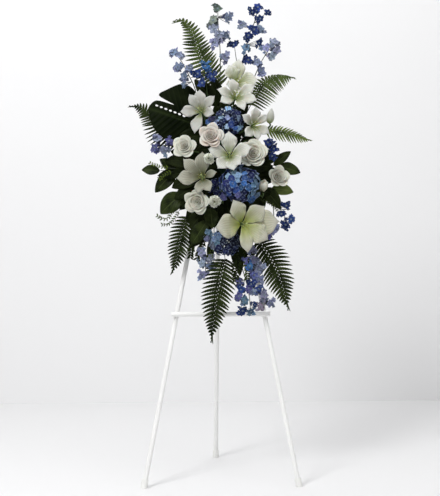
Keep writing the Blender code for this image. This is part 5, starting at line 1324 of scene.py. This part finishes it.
# Sprigs of small leaves that fill the gaps: the way of each, its leaves' length and their finish
SPRIGS = (
    (((0.066, -0.136, 0.812), (0.059, -0.146, 0.756), (0.052, -0.152, 0.704)), 0.017, FERN),
    (((0.076, -0.134, 0.806), (0.086, -0.146, 0.750), (0.089, -0.152, 0.702)), 0.017, FERN_OLIVE),
    (((0.056, -0.138, 0.790), (0.044, -0.146, 0.742), (0.045, -0.152, 0.692)), 0.015, FERN),
    (((0.092, -0.134, 0.806), (0.102, -0.146, 0.764), (0.108, -0.150, 0.724)), 0.015, FERN),
    (((-0.026, -0.136, 0.808), (-0.036, -0.144, 0.776), (-0.039, -0.148, 0.752)), 0.016, FERN_BRIGHT),
    (((-0.083, -0.130, 0.852), (-0.097, -0.134, 0.806), (-0.103, -0.136, 0.772)), 0.018, FERN),
    (((-0.058, -0.134, 0.840), (-0.066, -0.138, 0.800), (-0.080, -0.140, 0.770)), 0.018, FERN),
    (((-0.150, -0.112, 0.950), (-0.180, -0.112, 0.900), (-0.212, -0.110, 0.908)), 0.011, SALAL_BRIGHT),
    (((-0.140, -0.114, 0.930), (-0.168, -0.114, 0.886), (-0.196, -0.112, 0.880)), 0.010, SALAL_BRIGHT),
    (((-0.170, -0.112, 1.070), (-0.206, -0.112, 1.076), (-0.236, -0.108, 1.088)), 0.010, FERN_BRIGHT),
    (((-0.160, -0.114, 1.060), (-0.186, -0.114, 1.050), (-0.204, -0.112, 1.036)), 0.010, FERN_BRIGHT),
    (((0.120, -0.120, 0.970), (0.168, -0.122, 0.950), (0.200, -0.122, 0.918)), 0.009, SALAL_BRIGHT))
SPRIG_STEP = 0.008


def sprig_leaves(path, leaf_length, finish, chance):
    """Narrow leaves in pairs along a twig, slanted towards its end."""
    leaves = []
    steps = int(sum((b - a).length for a, b in zip(path, path[1:])) / SPRIG_STEP)
    joints = evenly(path, steps)
    for k in range(1, steps + 1):
        axis = (joints[k] - joints[k - 1]).normalized()
        side = axis.cross(across(axis, Vector((0.0, -1.0, 0.0))))
        for word in (1, -1):
            length = leaf_length * chance.uniform(0.75, 1.15)
            way = axis * chance.uniform(0.5, 1.0) + side * word * chance.uniform(0.6, 1.0)
            way = (way + Vector((0.0, chance.uniform(-0.5, 0.2), 0.0))).normalized()
            facing = Vector((chance.uniform(-0.6, 0.6), -1.0, chance.uniform(-0.4, 0.8)))
            surface = lemon_leaf(joints[k], joints[k] + way * length, length * 0.22, facing, chance)
            leaves.append(laid(LEAFLET_BLANK, surface, finish))
    return leaves


def filler_sprigs():
    chance = random.Random("filler sprigs")
    leaves = []
    twigs = []
    for points, leaf_length, finish in SPRIGS:
        path = path_of(points, 6)
        leaves.extend(sprig_leaves(path, leaf_length, finish, chance))
        twigs.append(rod([foam_anchor(Vector(points[0]))] + path, 0.0010, 0.0006, TWIG_DARK))
    parts = [thickened("filler_sprigs", leaves, FINE_THICKNESS)] + twigs
    return finished("filler_sprigs", parts, IN_PLACE, "salal_leaf")


# Monstera leaf: its outline along and across the rib, with slits from the edge and a row of holes

MONSTERA_BASE = Vector((-0.100, -0.085, 1.228))
MONSTERA_TIP = Vector((-0.240, -0.085, 1.274))
MONSTERA_SOCKET = (-0.067, 0.100, -0.25)
MONSTERA_OUTLINE = (
    (0.000, 0.004), (-0.022, 0.022), (-0.014, 0.070), (0.020, 0.108), (0.054, 0.119), (0.076, 0.113),
    (0.108, 0.084), (0.131, 0.053), (0.072, 0.038), (0.133, 0.034), (0.150, 0.002), (0.136, -0.028),
    (0.120, -0.052), (0.094, -0.072), (0.056, -0.084), (0.018, -0.078), (-0.014, -0.055), (-0.020, -0.018))
MONSTERA_HOLES = tuple((0.028 + 0.0165 * k, 0.0125 + 0.0008 * k) for k in range(7))
HOLE_HALF = (0.0052, 0.0032)
MONSTERA_THICKNESS = 0.0010
MONSTERA_STEP = 0.006
MONSTERA_WIDTH = 0.24
MONSTERA_LENGTH = 0.176


def loop_of(points):
    """A closed outline from a circle whose points are brought to the given places."""
    bpy.ops.mesh.primitive_circle_add(vertices=len(points), radius=1.0)
    loop = bpy.context.object
    return put(loop, np.array([(x, y, 0.0) for x, y in points]))


def monstera_leaf():
    closed = [(x, y, 0.0) for x, y in MONSTERA_OUTLINE + MONSTERA_OUTLINE[:1]]
    edge = [(point.x, point.y) for point in path_of(closed, 5)[:-1]]
    loops = [loop_of(edge)]
    for x, y in MONSTERA_HOLES:
        turns = [2 * pi * k / 12 for k in range(12)]
        loops.append(loop_of([(x + HOLE_HALF[0] * cos(a), y + HOLE_HALF[1] * sin(a)) for a in turns]))
    leaf = joined("monstera_leaf", loops)
    edit(True)
    bpy.ops.mesh.select_all(action="SELECT")
    bpy.ops.mesh.fill(use_beauty=True)
    for direction, low, high in ((Vector((1.0, 0.0, 0.0)), -0.024, 0.150),
                                 (Vector((0.0, 1.0, 0.0)), -0.080, 0.120)):
        for step in range(1, int((high - low) / MONSTERA_STEP)):
            bpy.ops.mesh.select_all(action="SELECT")
            bpy.ops.mesh.bisect(plane_co=direction * (low + step * MONSTERA_STEP), plane_no=direction)
    edit(False)
    bpy.ops.object.shade_smooth()
    leaf.data.materials.clear()
    leaf.data.materials.append(MONSTERA)
    spots = spots_of(leaf.data)
    flat_map = leaf.data.uv_layers.new(name="UVMap")
    corner_points = np.empty(len(leaf.data.loops), dtype=np.int32)
    leaf.data.loops.foreach_get("vertex_index", corner_points)
    across_along = np.stack((spots[:, 1] / MONSTERA_WIDTH + 0.5, (spots[:, 0] + 0.024) / MONSTERA_LENGTH), 1)
    across_along = across_along[corner_points]
    flat_map.data.foreach_set("uv", across_along.astype(np.float32).ravel())
    run = MONSTERA_TIP - MONSTERA_BASE
    axis = run.normalized()
    normal = across(axis, Vector((-0.15, -1.0, 0.15)))
    side = normal.cross(axis)
    if side.z < 0:
        side.negate()
    x, y = spots[:, 0], spots[:, 1]
    arch = -0.9 * y * y - 0.8 * (x - 0.06) ** 2
    veins = -0.0007 * np.abs(np.sin(pi * (x - 0.5 * np.abs(y)) / 0.020)) - 0.0030 * np.exp(-np.abs(y) / 0.004)
    put(leaf, np.outer(x, axis) + np.outer(y, side) + np.outer(arch + veins, normal))
    leaf = thickened("monstera_leaf", [leaf], MONSTERA_THICKNESS)
    spot = foam_spot(*MONSTERA_SOCKET)
    knee = MONSTERA_BASE - axis * 0.012 - normal * 0.004
    stalk = [rooted(spot, knee), spot, knee, MONSTERA_BASE + axis * 0.060 - normal * 0.0024,
             MONSTERA_BASE + axis * 0.140 - normal * 0.0080]
    path = smooth_path([point - MONSTERA_BASE for point in stalk], 6)
    parts = [leaf, rod(path, 0.0024, 0.0008, MONSTERA)]
    place = Matrix.Translation(MONSTERA_BASE)
    return finished("monstera_leaf", parts, place, "monstera_leaf", "monstera_leaf")


# Easel, cage and foam keep the model's shapes and get their finishes here

def dressed(names, finish):
    for name in names:
        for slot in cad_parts[name].material_slots:
            slot.material = finish


def easel_and_cage():
    enamel = plain_finish("white_enamel", (0.82, 0.82, 0.81), 0.03, 8.0, 0.34, bump=0.12, grain=260.0,
                          depth=0.0003)
    plastic = plain_finish("white_plastic", (0.80, 0.80, 0.78), 0.04, 20.0, 0.52, bump=0.2, grain=700.0)
    zinc = plain_finish("zinc", (0.52, 0.52, 0.53), 0.12, 120.0, 0.38, metallic=1.0, bump=0.2, grain=900.0)
    green = plain_finish("green_plastic", (0.020, 0.060, 0.026), 0.15, 40.0, 0.48, bump=0.2, grain=700.0)
    foam = plain_finish("wet_foam", (0.018, 0.050, 0.024), 0.35, 220.0, 0.95, bump=0.9, grain=1400.0,
                        depth=0.001)
    dressed(("front_leg_left", "front_leg_right", "crossbar", "head_bracket", "rear_leg"), enamel)
    dressed(("foot_cap_left", "foot_cap_right", "foot_cap_rear"), plastic)
    ties = [f"cable_tie_{side}_{level}" for side in ("left", "right") for level in ("lower", "upper")]
    dressed(ties, plastic)
    for name, finish in (("hinge_pin", zinc), ("foam_cage", green), ("foam_block", foam)):
        dressed((name,), finish)


# Studio: a pale wall and floor, soft light from the upper left, and the camera of the photo

WALL_DEPTH = 1.49 + DEPTH_SHIFT
CAMERA_PLACE = (-0.1948, -4.3783, 1.0)
CAMERA_TURN = (radians(90.0 - 2.69), 0.0, radians(-2.6))
CAMERA_LENS = 91.0
CAMERA_SENSOR = 36.0
ROOM_WIDTH = 16.0
WALL_HEIGHT = 6.0
AMBIENT = 0.34
# Each lamp's place and target in metres, its width and its power
LAMPS = (("key", (-2.0, -3.0, 3.6), (0.0, 0.0, 1.0), 1.2, 120.0),
         ("fill", (2.8, -3.2, 1.8), (0.0, 0.0, 0.9), 2.4, 14.0),
         ("wall_light", (0.0, -0.6, 4.2), (0.1, 1.5, 0.5), 4.0, 96.0))


def stage_plane(name, grey, roughness, place, turn, scale):
    """A large plain surface of the studio."""
    bpy.ops.mesh.primitive_plane_add(size=1.0, location=place, rotation=turn)
    plane = bpy.context.object
    plane.name = name
    plane.scale = scale
    plane.data.materials.append(plain_finish(name, grey, 0.02, 0.6, roughness, bump=0.05, grain=40.0))
    return plane


def studio():
    floor = stage_plane("studio_floor", (0.74, 0.74, 0.745), 0.80, (0.0, 0.0, 0.0), (0.0, 0.0, 0.0),
                        (ROOM_WIDTH, ROOM_WIDTH, 1.0))
    wall = stage_plane("studio_wall", (0.80, 0.80, 0.805), 0.90, (0.0, WALL_DEPTH, WALL_HEIGHT / 2),
                       (pi / 2, 0.0, 0.0), (ROOM_WIDTH, WALL_HEIGHT, 1.0))
    scene = bpy.context.scene
    scene.world = scene.world or bpy.data.worlds.new("studio")
    scene.world.use_nodes = True
    backdrop = scene.world.node_tree.nodes["Background"]
    backdrop.inputs["Color"].default_value = (1.0, 1.0, 1.0, 1.0)
    backdrop.inputs["Strength"].default_value = AMBIENT
    for name, place, target, size, power in LAMPS:
        bpy.ops.object.light_add(type="AREA", location=place)
        lamp = bpy.context.object
        lamp.name = name
        lamp.data.size = size
        lamp.data.energy = power
        lamp.rotation_euler = (Vector(target) - Vector(place)).to_track_quat("-Z", "Y").to_euler()
    bpy.ops.object.camera_add(location=CAMERA_PLACE, rotation=CAMERA_TURN)
    camera = bpy.context.object
    camera.data.sensor_width = CAMERA_SENSOR
    camera.data.lens = CAMERA_LENS
    scene.camera = camera
    scene.view_settings.view_transform = "Standard"


BEAD_BLANK = bead_blank(12, 8)
SMALL_BEAD_BLANK = bead_blank(6, 4)
LEAFLET_BLANK = blade_blank(2, 14, pointed_base=True)
LEAF_BLANK = blade_blank(8, 20, pointed_base=True)
FLORET_BLANK = blade_blank(4, 6)
LONG_ROD_BLANK = rod_blank(6, 30)
HYDRANGEA_TEMPLATE = hydrangea_floret()
DELPHINIUM_TEMPLATE = delphinium_floret()

for name, bloom in LILIES.items():
    lily(name, bloom)
lily_bud()
for name, bloom in ROSES.items():
    whorls, height = (BUD_WHORLS, BUD_HEIGHT) if name == "rose_bud" else (OPEN_WHORLS, 1.0)
    rose(name, bloom, whorls, height)
for make, pieces in ((carnation, CARNATIONS), (hydrangea, HYDRANGEAS), (delphinium, DELPHINIUMS),
                     (fern_frond, FRONDS), (leafy_stem, LEAFY_STEMS)):
    for name, piece in pieces.items():
        make(name, piece)
cover_leaves()
filler_sprigs()
monstera_leaf()
easel_and_cage()
for blank in BLANKS:
    bpy.data.objects.remove(blank, do_unlink=True)
studio()
